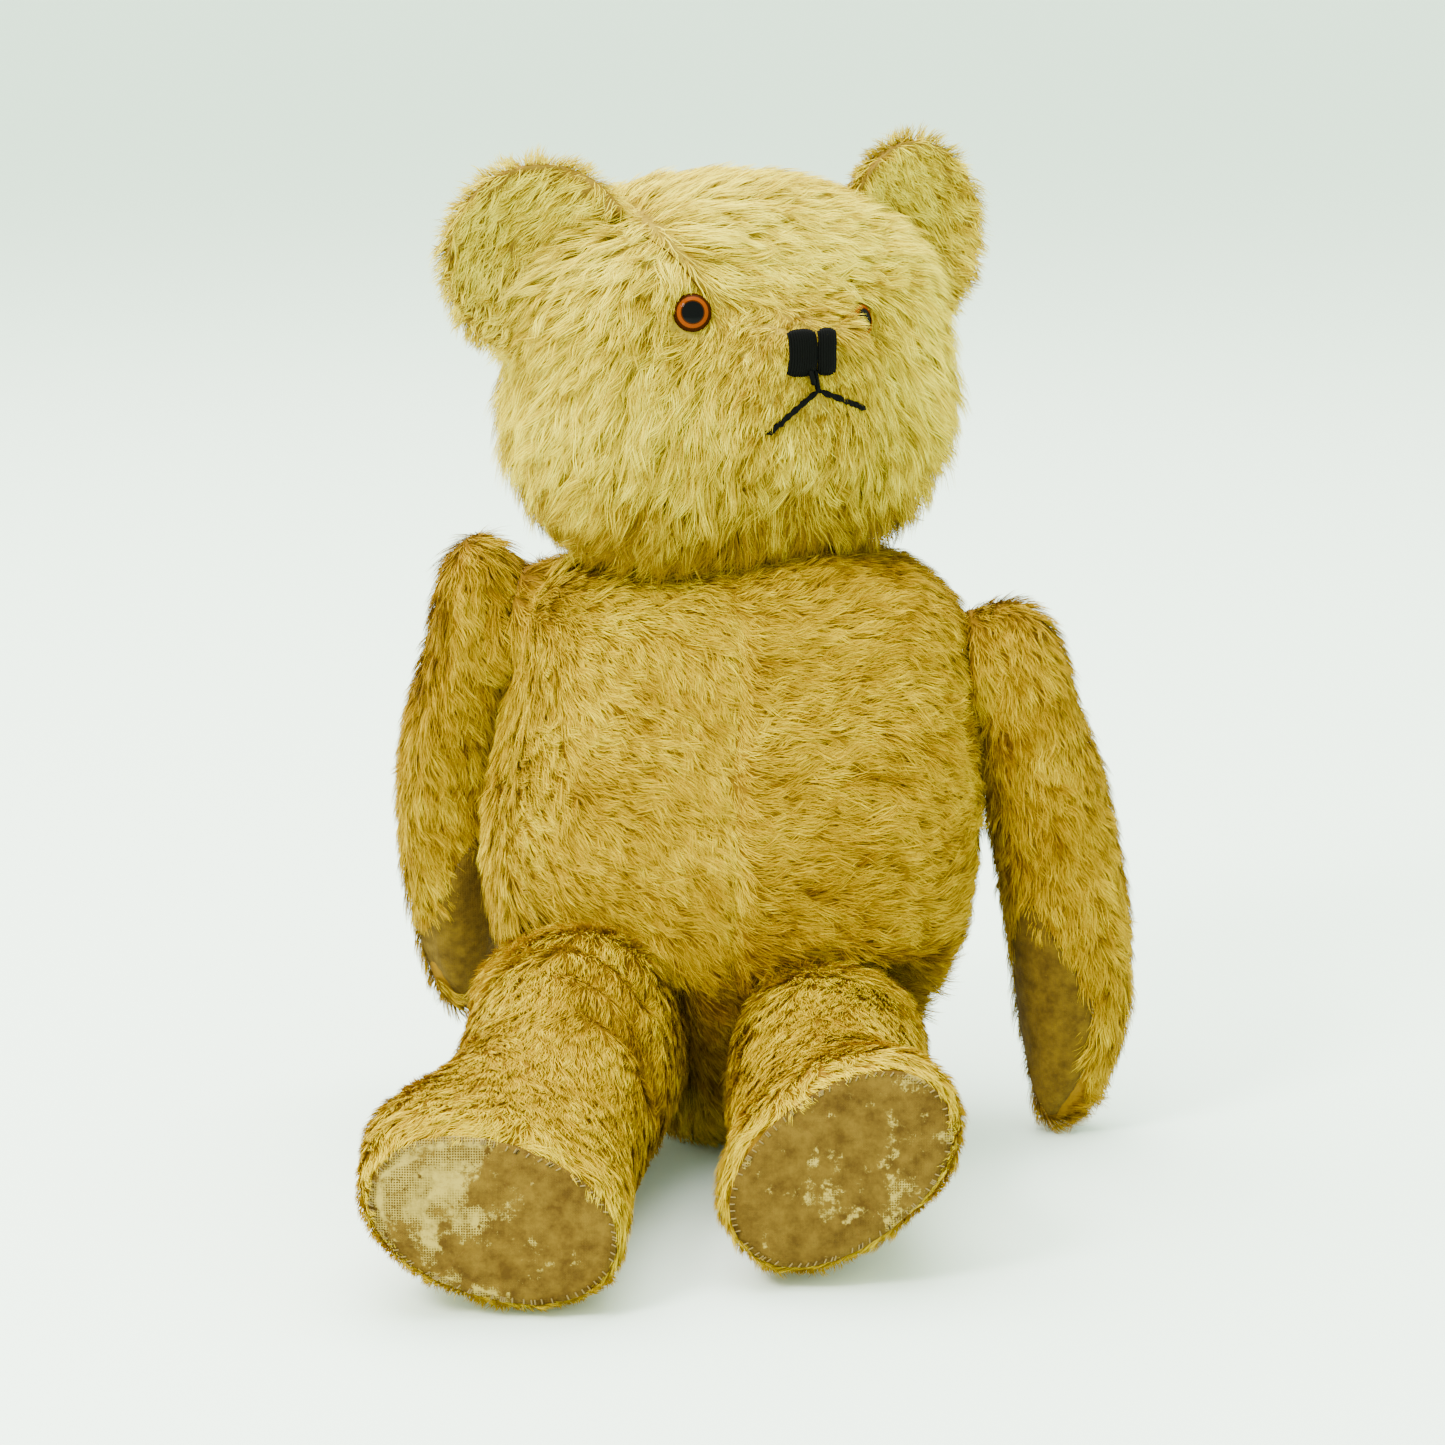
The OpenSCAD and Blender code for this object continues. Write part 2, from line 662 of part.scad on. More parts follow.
leg_foot_pad(LEFT);  // leg_left_foot_pad
leg_sole_card(LEFT);  // leg_left_sole_card
leg_stuffing(LEFT);  // leg_left_stuffing
at_hip(LEFT) limb_disc(hip_disc_d);  // hip_left_disc_leg
at_hip(LEFT) limb_washer();  // hip_left_washer_leg
at_hip(LEFT) pin();  // hip_left_pin
leg_cover(RIGHT);  // leg_right_cover
leg_foot_pad(RIGHT);  // leg_right_foot_pad
leg_sole_card(RIGHT);  // leg_right_sole_card
leg_stuffing(RIGHT);  // leg_right_stuffing
at_hip(RIGHT) limb_disc(hip_disc_d);  // hip_right_disc_leg
at_hip(RIGHT) limb_washer();  // hip_right_washer_leg
at_hip(RIGHT) pin();  // hip_right_pin
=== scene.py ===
"""Jointed mohair teddy bear: the looks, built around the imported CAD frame.

Metres. +Z is up, the torso faces -Y, and the bear's left side is +X.
Each body gets a stuffed skin made from its CAD solids, and a pile of mesh strands combed over that skin.
"""

import json
import math

import bmesh
import bpy
import numpy as np
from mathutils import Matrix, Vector
from mathutils.bvhtree import BVHTree
from mathutils.kdtree import KDTree


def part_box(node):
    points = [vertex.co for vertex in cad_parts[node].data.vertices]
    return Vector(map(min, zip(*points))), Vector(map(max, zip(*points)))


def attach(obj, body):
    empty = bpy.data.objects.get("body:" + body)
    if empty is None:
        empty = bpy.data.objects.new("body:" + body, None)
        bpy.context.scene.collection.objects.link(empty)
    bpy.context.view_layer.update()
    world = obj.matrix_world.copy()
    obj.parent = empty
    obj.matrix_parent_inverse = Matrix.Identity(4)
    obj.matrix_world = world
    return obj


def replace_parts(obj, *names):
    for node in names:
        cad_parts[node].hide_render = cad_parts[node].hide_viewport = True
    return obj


MM = 0.001
SEED = 20
UP = np.array([0.0, 0.0, 1.0])
STRANDS_PER_MM2 = 1.8
STRAND_ROWS = 3
STRANDS_PER_PIECE = 38000
STRANDS_PER_LOCK = 14
STRAND_WIDTH = 0.3 * MM
FLOOR_PILE = 0.4 * MM  # no strand hangs lower than this
SIDES = {"left": 1, "right": -1}
STUFFING_PRESSURE = 7.0
SWELL_FRAMES = 20
JOINT_R = 15 * MM  # bare skin where a joint's disc presses
SEAT_R = 22 * MM  # skin around a joint that the stuffing cannot swell
EYE_R = 6.5 * MM
SOLE_DOME = 1.6 * MM
PAD_GAP = 1.2 * MM

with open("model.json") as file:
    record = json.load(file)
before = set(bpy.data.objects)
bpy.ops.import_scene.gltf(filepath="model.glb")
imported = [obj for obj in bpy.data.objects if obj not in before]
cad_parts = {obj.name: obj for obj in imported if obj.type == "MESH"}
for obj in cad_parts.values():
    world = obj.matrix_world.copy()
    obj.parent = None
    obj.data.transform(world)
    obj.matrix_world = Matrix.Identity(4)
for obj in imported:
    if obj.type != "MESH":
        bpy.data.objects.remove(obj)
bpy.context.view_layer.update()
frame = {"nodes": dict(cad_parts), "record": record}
joints = {j["name"]: j for j in frame["record"]["behaviour"]["joints"]}


# ---- Small sums on arrays of points ----

def unit(v):
    return v / np.maximum(np.linalg.norm(v, axis=-1, keepdims=True), 1e-12)


def dot(a, b):
    return (a * b).sum(-1)


def bell(distance, width):
    """1 at no distance, falling smoothly to 0 over about twice the width."""
    return np.exp(-((distance / width) ** 2))


def step(value, low, high):
    """0 below low, 1 above high, and smooth between them."""
    t = np.clip((value - low) / (high - low), 0, 1)
    return t * t * (3 - 2 * t)


def ripple(points, size, seed):
    """A smooth value from about -1 to 1 that changes over the given size."""
    rng = np.random.default_rng(seed)
    way = unit(rng.normal(size=(9, 3))) * (2 * math.pi / size * rng.uniform(0.5, 1.7, (9, 1)))
    return np.sin(points @ way.T + rng.uniform(0, 2 * math.pi, 9)).mean(1) * 2.2


def away_from_line(points, line):
    """Distance of each point from a polyline."""
    best = np.full(len(points), 1e9)
    for a, b in zip(line[:-1], line[1:]):
        t = np.clip(dot(points - a, b - a) / max(dot(b - a, b - a), 1e-12), 0, 1)[:, None]
        best = np.minimum(best, np.linalg.norm(points - a - t * (b - a), axis=1))
    return best


def smooth_path(points, count):
    """A curve through a few points, as count points."""
    pts = np.asarray(points, float)
    n = len(pts)
    out = []
    for s in np.linspace(0, n - 1, count):
        k = min(int(s), n - 2)
        t = s - k
        a, b, c, d = (pts[min(max(k + j, 0), n - 1)] for j in (-1, 0, 1, 2))
        out.append(0.5 * (2 * b + (c - a) * t + (2 * a - 5 * b + 4 * c - d) * t**2
                          + (3 * b - a - 3 * c + d) * t**3))
    return np.array(out)


# ---- Meshes ----

def new_object(name, mesh, *materials):
    obj = bpy.data.objects.new(name, mesh)
    bpy.context.scene.collection.objects.link(obj)
    for m in materials:
        mesh.materials.append(m)
    return obj


def triangle_mesh(name, verts, tris, material_index=None):
    """A smooth mesh from arrays."""
    me = bpy.data.meshes.new(name)
    me.vertices.add(len(verts))
    me.vertices.foreach_set("co", np.ascontiguousarray(verts, np.float32).ravel())
    me.loops.add(len(tris) * 3)
    me.loops.foreach_set("vertex_index", np.ascontiguousarray(tris, np.int32).ravel())
    me.polygons.add(len(tris))
    me.polygons.foreach_set("loop_start", np.arange(0, len(tris) * 3, 3, dtype=np.int32))
    me.polygons.foreach_set("use_smooth", np.ones(len(tris), bool))
    if material_index is not None:
        me.polygons.foreach_set("material_index", np.ascontiguousarray(material_index, np.int32))
    me.update()
    return me


def points_of(mesh):
    co = np.empty(len(mesh.vertices) * 3)
    mesh.vertices.foreach_get("co", co)
    return co.reshape(-1, 3)


def triangles_of(mesh):
    mesh.calc_loop_triangles()
    tris = np.empty(len(mesh.loop_triangles) * 3, np.int32)
    mesh.loop_triangles.foreach_get("vertices", tris)
    return tris.reshape(-1, 3)


def normals_of(mesh):
    no = np.empty(len(mesh.vertices) * 3)
    mesh.vertex_normals.foreach_get("vector", no)
    return no.reshape(-1, 3)


def move_points(obj, co):
    obj.data.vertices.foreach_set("co", np.ascontiguousarray(co, np.float32).ravel())
    obj.data.update()


def node_points(*names):
    return np.concatenate([points_of(frame["nodes"][n].data) for n in names])


def node_middle(*names):
    co = node_points(*names)
    return (co.min(0) + co.max(0)) / 2


def node_tree(*names):
    """Where the surface of some CAD nodes is, for nearest-point questions."""
    verts, tris = [], []
    for n in names:
        me = frame["nodes"][n].data
        tris.append(triangles_of(me) + sum(map(len, verts)))
        verts.append(points_of(me))
    return BVHTree.FromPolygons([Vector(v) for v in np.concatenate(verts)], np.concatenate(tris).tolist())


def distance_to(tree, points):
    return np.array([tree.find_nearest(Vector(p))[3] for p in points])


def apply_modifiers(obj):
    dg = bpy.context.evaluated_depsgraph_get()
    made = bpy.data.meshes.new_from_object(obj.evaluated_get(dg))
    obj.modifiers.clear()
    old, obj.data = obj.data, made
    bpy.data.meshes.remove(old)


def keep_outer_part(obj):
    """Drops the closed pieces inside: the part that reaches furthest stays."""
    bm = bmesh.new()
    bm.from_mesh(obj.data)
    left, parts = set(bm.verts), []
    while left:
        part, edge = set(), [next(iter(left))]
        while edge:
            v = edge.pop()
            if v in part:
                continue
            part.add(v)
            edge.extend(e.other_vert(v) for e in v.link_edges)
        left -= part
        parts.append(part)
    outer = max(parts, key=len)
    bmesh.ops.delete(bm, geom=[v for p in parts if p is not outer for v in p], context="VERTS")
    bm.to_mesh(obj.data)
    bm.free()


def from_nodes(name, nodes, voxel, smoothing, shrink):
    """One closed smooth mesh around some CAD nodes, a little smaller than they are."""
    verts, tris = [], []
    for n in nodes:
        me = frame["nodes"][n].data
        tris.append(triangles_of(me) + sum(map(len, verts)))
        verts.append(points_of(me))
    obj = new_object(name, triangle_mesh(name, np.concatenate(verts), np.concatenate(tris)))
    remesh = obj.modifiers.new("Remesh", "REMESH")
    remesh.mode = "VOXEL"
    remesh.voxel_size = voxel
    remesh.use_smooth_shade = True
    if smoothing:
        smooth = obj.modifiers.new("Smooth", "SMOOTH")
        smooth.factor = 0.5
        smooth.iterations = smoothing
    apply_modifiers(obj)
    keep_outer_part(obj)
    move_points(obj, points_of(obj.data) - normals_of(obj.data) * shrink)
    return obj


def free_of_seats(points, seats):
    """1 away from the joints' seats, falling to 0 at each."""
    free = np.ones((len(points), 1))
    for seat in seats:
        free[:, 0] *= 1 - np.exp(-((np.linalg.norm(points - seat, axis=1) / SEAT_R) ** 4))
    return free


def swell(obj, cap, seats):
    """Fills a closed skin by cloth simulation, by no more than the cap. A joint's seat stays flat."""
    start = points_of(obj.data)
    cloth = obj.modifiers.new("Cloth", "CLOTH")
    cloth.settings.quality = 5
    cloth.settings.mass = 0.3
    cloth.settings.tension_stiffness = 20
    cloth.settings.compression_stiffness = 20
    cloth.settings.bending_stiffness = 2
    cloth.settings.use_pressure = True
    cloth.settings.uniform_pressure_force = STUFFING_PRESSURE
    cloth.settings.effector_weights.gravity = 0
    scene = bpy.context.scene
    for f in range(1, SWELL_FRAMES + 1):
        scene.frame_set(f)
    dg = bpy.context.evaluated_depsgraph_get()
    moved = points_of(obj.evaluated_get(dg).data) - start
    obj.modifiers.clear()
    scene.frame_set(1)
    far = np.linalg.norm(moved, axis=1, keepdims=True)
    moved = moved * np.minimum(1, cap / np.maximum(far, 1e-9))
    move_points(obj, start + moved * free_of_seats(start, seats))


def dent(obj, line, width, depth):
    """Presses a crease or a seam into a skin."""
    co = points_of(obj.data)
    push = bell(away_from_line(co, line), width) * depth
    move_points(obj, co - normals_of(obj.data) * push[:, None])


def tree_of(obj):
    return BVHTree.FromPolygons([Vector(v) for v in points_of(obj.data)], triangles_of(obj.data).tolist())


def laid_on(tree, points, lift=0.0):
    """Points moved to the nearest place on a surface, and lifted off it."""
    out = []
    for p in points:
        at, normal, _, _ = tree.find_nearest(Vector(p))
        out.append(np.array(at + normal * lift))
    return np.array(out)


def tube(name, path, radius, *materials, sides=8, taper=0.0):
    """A round thread along a path."""
    path = np.asarray(path, float)
    n = len(path)
    ahead = np.roll(path, -1, 0) - np.roll(path, 1, 0)
    ahead[0], ahead[-1] = path[1] - path[0], path[-1] - path[-2]
    ahead = unit(ahead)
    side = np.cross(ahead[0], UP if abs(ahead[0][2]) < 0.9 else [1.0, 0, 0])
    rings = []
    for k in range(n):
        side = unit(side - ahead[k] * dot(side, ahead[k]))
        across = np.cross(ahead[k], side)
        ends = min(k, n - 1 - k) / max(n - 1, 1) * 2
        r = radius * (1 - taper * (1 - min(1, ends * 4)))
        rings.append([path[k] + r * (side * math.cos(a) + across * math.sin(a))
                      for a in np.arange(sides) * 2 * math.pi / sides])
    verts = np.array(rings).reshape(-1, 3)
    tris = []
    for k in range(n - 1):
        for j in range(sides):
            a, b = k * sides + j, k * sides + (j + 1) % sides
            c, d = a + sides, b + sides
            tris += [(a, b, d), (a, d, c)]
    for at, flip in ((0, True), (n - 1, False)):
        ring = [at * sides + j for j in range(sides)]
        for j in range(1, sides - 1):
            tris.append((ring[0], ring[j + 1], ring[j]) if flip else (ring[0], ring[j], ring[j + 1]))
    return new_object(name, triangle_mesh(name, verts, np.array(tris)), *materials)


def joined(name, objects):
    """Several objects of the same materials as one."""
    verts, tris, start = [], [], 0
    for o in objects:
        co, tri = points_of(o.data), triangles_of(o.data)
        verts.append(co)
        tris.append(tri + start)
        start += len(co)
    mats = list(objects[0].data.materials)
    for o in objects:
        bpy.data.meshes.remove(o.data)
    return new_object(name, triangle_mesh(name, np.concatenate(verts), np.concatenate(tris)), *mats)


# ---- Materials ----

def srgb(r, g, b):
    """Linear colour of an 8-bit screen colour."""
    return tuple(c / 255 / 12.92 if c <= 10 else ((c / 255 + 0.055) / 1.055) ** 2.4
                 for c in (r, g, b)) + (1,)


def material(name, colour, roughness=0.8, **sockets):
    """A principled material whose named sockets are set; returns it with its node tree's parts."""
    m = bpy.data.materials.new(name)
    m.use_nodes = True
    p = m.node_tree.nodes["Principled BSDF"]
    p.inputs["Base Color"].default_value = colour
    p.inputs["Roughness"].default_value = roughness
    for key, value in sockets.items():
        p.inputs[key.replace("_", " ")].default_value = value
    return m


def add_node(m, kind, **values):
    n = m.node_tree.nodes.new(kind)
    for key, value in values.items():
        if hasattr(n, key):
            setattr(n, key, value)
        else:
            n.inputs[key.replace("_", " ")].default_value = value
    return n


def wire(m, out, into):
    m.node_tree.links.new(out, into)


def object_coords(m):
    return add_node(m, "ShaderNodeTexCoord").outputs["Object"]


def noise(m, coords, scale, detail=4.0, roughness=0.6):
    n = add_node(m, "ShaderNodeTexNoise", Scale=scale, Detail=detail, Roughness=roughness)
    wire(m, coords, n.inputs["Vector"])
    return n.outputs["Fac"]


def ramp(m, value, stops):
    """Colour from a value, by stops of (place, colour)."""
    n = add_node(m, "ShaderNodeValToRGB")
    while len(n.color_ramp.elements) < len(stops):
        n.color_ramp.elements.new(1.0)
    for e, (at, colour) in zip(n.color_ramp.elements, stops):
        e.position, e.color = at, colour
    wire(m, value, n.inputs["Fac"])
    return n.outputs["Color"]


def maths(m, operation, a, b=0.0):
    n = add_node(m, "ShaderNodeMath", operation=operation)
    for socket, value in zip(n.inputs, (a, b)):
        if isinstance(value, (int, float)):
            socket.default_value = value
        else:
            wire(m, value, socket)
    return n.outputs[0]


def mixed(m, share, a, b):
    n = add_node(m, "ShaderNodeMixRGB")
    for socket, value in zip(n.inputs, (share, a, b)):
        if isinstance(value, (tuple, int, float)):
            socket.default_value = value
        else:
            wire(m, value, socket)
    return n.outputs[0]


def bump(m, height, strength, distance):
    n = add_node(m, "ShaderNodeBump", Strength=strength, Distance=distance)
    wire(m, height, n.inputs["Height"])
    wire(m, n.outputs["Normal"], m.node_tree.nodes["Principled BSDF"].inputs["Normal"])


def weave(m, coords, pitch):
    """Height of a plain weave with that distance between its threads."""
    heights = []
    for way in ("X", "Y", "Z"):
        n = add_node(m, "ShaderNodeTexWave", bands_direction=way, Scale=0.5 / pitch / math.pi, Distortion=1.2)
        n.inputs["Detail Scale"].default_value = 2.0
        wire(m, coords, n.inputs["Vector"])
        heights.append(n.outputs["Fac"])
    return maths(m, "MAXIMUM", heights[0], maths(m, "MAXIMUM", heights[1], heights[2]))


def pile_tones(name, colours):
    """Plain strand materials, from the darkest tone to the palest."""
    return [material(f"{name}_{k}", srgb(*c), 0.6, Specular_IOR_Level=0.04, Specular_Tint=srgb(255, 214, 110))
            for k, c in enumerate(colours)]


def backing_material(name, dark, pale, pitch=0.7 * MM):
    """Woven ground of the plush, darker and paler in random patches."""
    m = material(name, pale, 0.9, Specular_IOR_Level=0.05)
    coords = object_coords(m)
    patches = ramp(m, noise(m, coords, 90), [(0.3, dark), (0.7, pale)])
    threads = weave(m, coords, pitch)
    colour = mixed(m, maths(m, "MULTIPLY", threads, 0.3), patches, pale)
    wire(m, colour, m.node_tree.nodes["Principled BSDF"].inputs["Base Color"])
    bump(m, threads, 0.5, 0.3 * MM)
    return m


GOLD = pile_tones("mohair_gold", [
    (88, 56, 0), (116, 80, 0), (143, 106, 0), (165, 128, 0), (187, 150, 1), (209, 177, 6)])
STRAW = pile_tones("mohair_straw", [
    (110, 78, 4), (140, 108, 8), (166, 136, 12), (189, 158, 16), (209, 181, 26), (227, 204, 56)])
gold_backing = backing_material("mohair_gold_backing", srgb(88, 56, 4), srgb(128, 92, 8))
straw_backing = backing_material("mohair_straw_backing", srgb(112, 86, 16), srgb(150, 124, 34))


# ---- Pile ----

def scatter(obj, per_mm2, rng, keep):
    """Evenly random places on a skin, with its smooth normal there, thinned by keep."""
    co, no, tris = points_of(obj.data), normals_of(obj.data), triangles_of(obj.data)
    corners = co[tris]
    area = np.linalg.norm(np.cross(corners[:, 1] - corners[:, 0], corners[:, 2] - corners[:, 0]), axis=1) / 2
    count = int(area.sum() / MM**2 * per_mm2)
    pick = rng.choice(len(tris), count, p=area / area.sum())
    u, v = rng.random((2, count))
    flip = u + v > 1
    u[flip], v[flip] = 1 - u[flip], 1 - v[flip]
    share = np.stack([1 - u - v, u, v], 1)[:, :, None]
    roots, normals = (corners[pick] * share).sum(1), unit((no[tris[pick]] * share).sum(1))
    stays = rng.random(count) < keep(roots, normals)
    return roots[stays], normals[stays]


def lock_of_each(roots, rng):
    """Which lock each strand belongs to: the nearest of a few strands picked as lock middles."""
    locks = rng.choice(len(roots), max(1, len(roots) // STRANDS_PER_LOCK), replace=False)
    tree = KDTree(len(locks))
    for k, i in enumerate(locks):
        tree.insert(Vector(roots[i]), k)
    tree.balance()
    return locks[[tree.find(Vector(p))[1] for p in roots]]


def strand_paths(roots, normals, lock, style, rng):
    """Rows of points from root to tip. Strands gather into locks, and each lock has its own way and wave."""
    comb, length, lift = style["comb"], style["length"], style["lift"]
    comb = unit(comb - normals * dot(comb, normals)[:, None])
    sideways = np.cross(normals, comb)
    count = len(roots)
    stray = rng.normal(0, style["stray"], count)[lock] + rng.normal(0, 0.22, count)
    comb = unit(comb + sideways * stray[:, None])
    length = length * rng.uniform(0.8, 1.15, count)[lock] * rng.uniform(0.75, 1.1, count)
    lift = np.clip(lift * rng.uniform(0.6, 1.4, count)[lock] * rng.uniform(0.8, 1.25, count), 0.05, 1.2)
    at, rows = roots - normals * 0.4 * MM, [roots - normals * 0.4 * MM]
    for k in range(STRAND_ROWS):
        t = k / STRAND_ROWS
        way = unit(comb + normals * (lift * (1.5 - 1.6 * t))[:, None])
        at = at + way * (length / STRAND_ROWS)[:, None]
        rows.append(at)
    paths = np.stack(rows, 1)
    gather = (np.linspace(0, 1, STRAND_ROWS + 1) ** 1.3)[None, :, None] * style["gather"][:, None, None]
    towards = paths[lock] - paths
    towards[:, 0] = 0
    limit = length[:, None, None] * 0.4
    far = np.linalg.norm(towards, axis=2, keepdims=True)
    paths = paths + towards * np.minimum(1, limit / np.maximum(far, 1e-9)) * gather
    phase = rng.uniform(0, 2 * math.pi, count)[lock] + rng.normal(0, 0.5, count)
    t = np.linspace(0, 1, STRAND_ROWS + 1)[None, :]
    wave = np.sin(phase[:, None] + t * 4.5) * t * (length * 0.07)[:, None]
    return paths + sideways[:, None, :] * wave[:, :, None]


def strand_mesh(name, paths, normals, tone, width, rng):
    """Flat tapered strands that face outwards. The roots are painted darker as the shade under the pile, and
    the tips paler as painted light.
    """
    count, rows = len(paths), STRAND_ROWS + 1
    ahead = np.gradient(paths, axis=1)
    roll = rng.normal(0, 0.45, (count, 1, 1)) * np.cross(ahead, normals[:, None, :])
    facing = normals[:, None, :] + roll / np.maximum(np.linalg.norm(ahead, axis=2, keepdims=True), 1e-9)
    across = unit(np.cross(ahead, facing))
    taper = (1 - 0.65 * np.linspace(0, 1, rows) ** 1.5)[None, :, None]
    half = across * taper * width[:, None, None] / 2
    verts = np.concatenate([(paths - half)[:, :-1], (paths + half)[:, :-1], paths[:, -1:]], 1)
    per = verts.shape[1]
    low, high, tip = np.arange(rows - 1), np.arange(rows - 1) + rows - 1, per - 1
    tris, level = [], []
    for k in range(rows - 2):
        tris += [(low[k], low[k + 1], high[k + 1]), (low[k], high[k + 1], high[k])]
        level += [k, k]
    tris.append((low[-1], tip, high[-1]))
    level.append(rows - 2)
    all_tris = (np.array(tris)[None] + np.arange(count)[:, None, None] * per).reshape(-1, 3)
    # Painted shade and light along each strand: the tone steps down at the root and up at the tip
    root_shade_tip_light = np.array(level) / (rows - 2) * 1.7 - 0.85
    tones = np.clip(np.round(tone[:, None] + root_shade_tip_light[None]), 0, len(GOLD) - 1).astype(int)
    return triangle_mesh(name, verts.reshape(-1, 3), all_tris, tones.ravel())


def grow_pile(name, skin, body, palette, style, keep):
    """Covers a skin in strands, as pieces that ride on its body."""
    rng = np.random.default_rng(SEED + sum(map(ord, name)))
    roots, normals = scatter(skin, STRANDS_PER_MM2, rng, keep)
    look = {"speckle": 0.8, "stray": 0.34, "gather": np.full(len(roots), 0.3)} | style(roots, normals)
    lock = lock_of_each(roots, rng)
    paths = strand_paths(roots, normals, lock, look, rng)
    paths[:, :, 2] = np.maximum(paths[:, :, 2], FLOOR_PILE)
    tone = look["tone"] + look["speckle"] * (
        rng.normal(0, 0.55, len(roots))[lock] + rng.normal(0, 0.6, len(roots)))
    widths = STRAND_WIDTH * rng.uniform(0.7, 1.2, len(roots))
    order = rng.permutation(len(roots))
    for k, start in enumerate(range(0, len(order), STRANDS_PER_PIECE)):
        part = order[start:start + STRANDS_PER_PIECE]
        piece = f"{name}_{k + 1}"
        mesh = strand_mesh(piece, paths[part], normals[part], tone[part], widths[part], rng)
        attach(new_object(piece, mesh, *palette), body)


# ---- Places on the bear, from the frame ----

neck = np.array(joints["neck_turn"]["pos_m"])
nose = node_middle("nose_stitching")
eyes = {s: node_middle(f"eye_{s}_pupil") for s in SIDES}
ears = {s: node_middle(f"ear_{s}") for s in SIDES}
looks = {s: unit(node_middle(f"eye_{s}_pupil") - node_middle(f"eye_{s}_shank")) for s in SIDES}
head_left = unit((eyes["left"] - eyes["right"]) * [1, 1, 0])
head_face = np.cross(head_left, UP)
hips = {s: np.array(joints[f"hip_{s}"]["pos_m"]) for s in SIDES}
shoulders = {s: np.array(joints[f"shoulder_{s}"]["pos_m"]) for s in SIDES}
shoulder_axes = {s: -unit(np.array(joints[f"shoulder_{s}"]["axis"])) for s in SIDES}
soles = {s: node_middle(f"leg_{s}_foot_pad") for s in SIDES}
torso_low, torso_high = (np.array(v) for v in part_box("torso_stuffing"))
belly_front = np.array([0, torso_low[1], (torso_low[2] + torso_high[2]) / 2])
crotch = np.array([-5 * MM, torso_low[1] + 12 * MM, 58 * MM])
muzzle = nose - head_face * 14 * MM - UP * 12 * MM


def in_head(points):
    """Points as distances to the head's left, to its front and up, from the neck."""
    q = points - neck
    return np.stack([q @ head_left, q @ head_face, q[:, 2]], 1)


# ---- Torso ----

def make_torso():
    nodes = [n for n in frame["nodes"] if n.startswith("torso_")] + [
        f"{j}_{p}_torso" for j in ("neck", "shoulder_left", "shoulder_right", "hip_left", "hip_right")
        for p in ("disc", "washer")]
    skin = from_nodes("torso_skin", nodes, 3 * MM, 6, 1.4 * MM)
    swell(skin, 3 * MM, [neck, *shoulders.values(), *hips.values()])
    height = np.linspace(30, 205, 12) * MM
    front = np.stack([height * 0, height * 0 + torso_low[1] - 5 * MM, height], 1)
    front = laid_on(tree_of(skin), front)
    back = laid_on(tree_of(skin), front * [1, 0, 1] + [0, torso_high[1] + 5 * MM, 0])
    for seam in (front, back):
        dent(skin, seam, 3 * MM, 1.6 * MM)
    skin.data.materials.append(gold_backing)
    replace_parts(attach(skin, "torso"), "torso_cover_left", "torso_cover_right",
                "torso_stuffing")

    def style(p, n):
        x, z = p[:, 0], p[:, 2]
        facing_front = step(-n[:, 1], -0.35, 0.35)
        left_half = step(x, -2 * MM, 4 * MM)
        slope = -0.62 * (1 - left_half) - 0.12 * left_half
        slope = slope + 0.4 * ripple(p, 60 * MM, 3) + 0.3 * ripple(p, 22 * MM, 4)
        lower = step(z, 110 * MM, 60 * MM)
        across = np.stack([np.ones(len(p)), np.zeros(len(p)), slope], 1)
        across[:, 0] -= 0.25 * lower
        down = np.stack([x * 4, np.zeros(len(p)), -np.ones(len(p))], 1)
        comb = unit(across) * facing_front[:, None] + down * (1 - facing_front)[:, None]
        seam = bell(away_from_line(p, front), 5 * MM)
        comb = comb + np.array([0, 0, -1.0]) * (seam * 1.3)[:, None]
        near_neck = bell(p[:, 2] - neck[2], 14 * MM)
        length = (11.5 + 1.5 * ripple(p, 45 * MM, 5) - 5.0 * seam - 4.0 * near_neck) * MM
        # Painted light: paler on the bear's right side, towards the key lamp, and on the upper chest
        tone = 2.15 + 0.6 * step(x, 20 * MM, -30 * MM) + 0.4 * step(z, 130 * MM, 180 * MM)
        tone = tone + 0.55 * ripple(p, 26 * MM, 7) + 0.35 * ripple(p, 9 * MM, 8) + 0.9 * seam
        # Painted shade: darker at the crotch between the legs and near the neck under the head
        tone = tone - 2.0 * bell(np.linalg.norm(p - crotch, axis=1), 30 * MM) - 0.8 * near_neck
        # Painted shade where the arms hang against the torso at the shoulders
        for s in SIDES:
            tone = tone - 1.2 * bell(np.linalg.norm(p - shoulders[s], axis=1), 30 * MM)
        return {"comb": comb, "length": length, "lift": 0.3 + 0.1 * ripple(p, 18 * MM, 6), "tone": tone}

    def keep(p, n):
        stays = 1 - step(p[:, 2], neck[2] - 3 * MM, neck[2] - 1 * MM) * step(n[:, 2], 0.8, 0.95)
        for s in SIDES:
            near = np.linalg.norm(p - shoulders[s], axis=1) < JOINT_R
            near |= np.linalg.norm(p - hips[s], axis=1) < JOINT_R
            stays = stays * np.where(near, 0.0, 1.0)
        return stays

    grow_pile("torso_pile", skin, "torso", GOLD, style, keep)
    return skin


# ---- Head ----

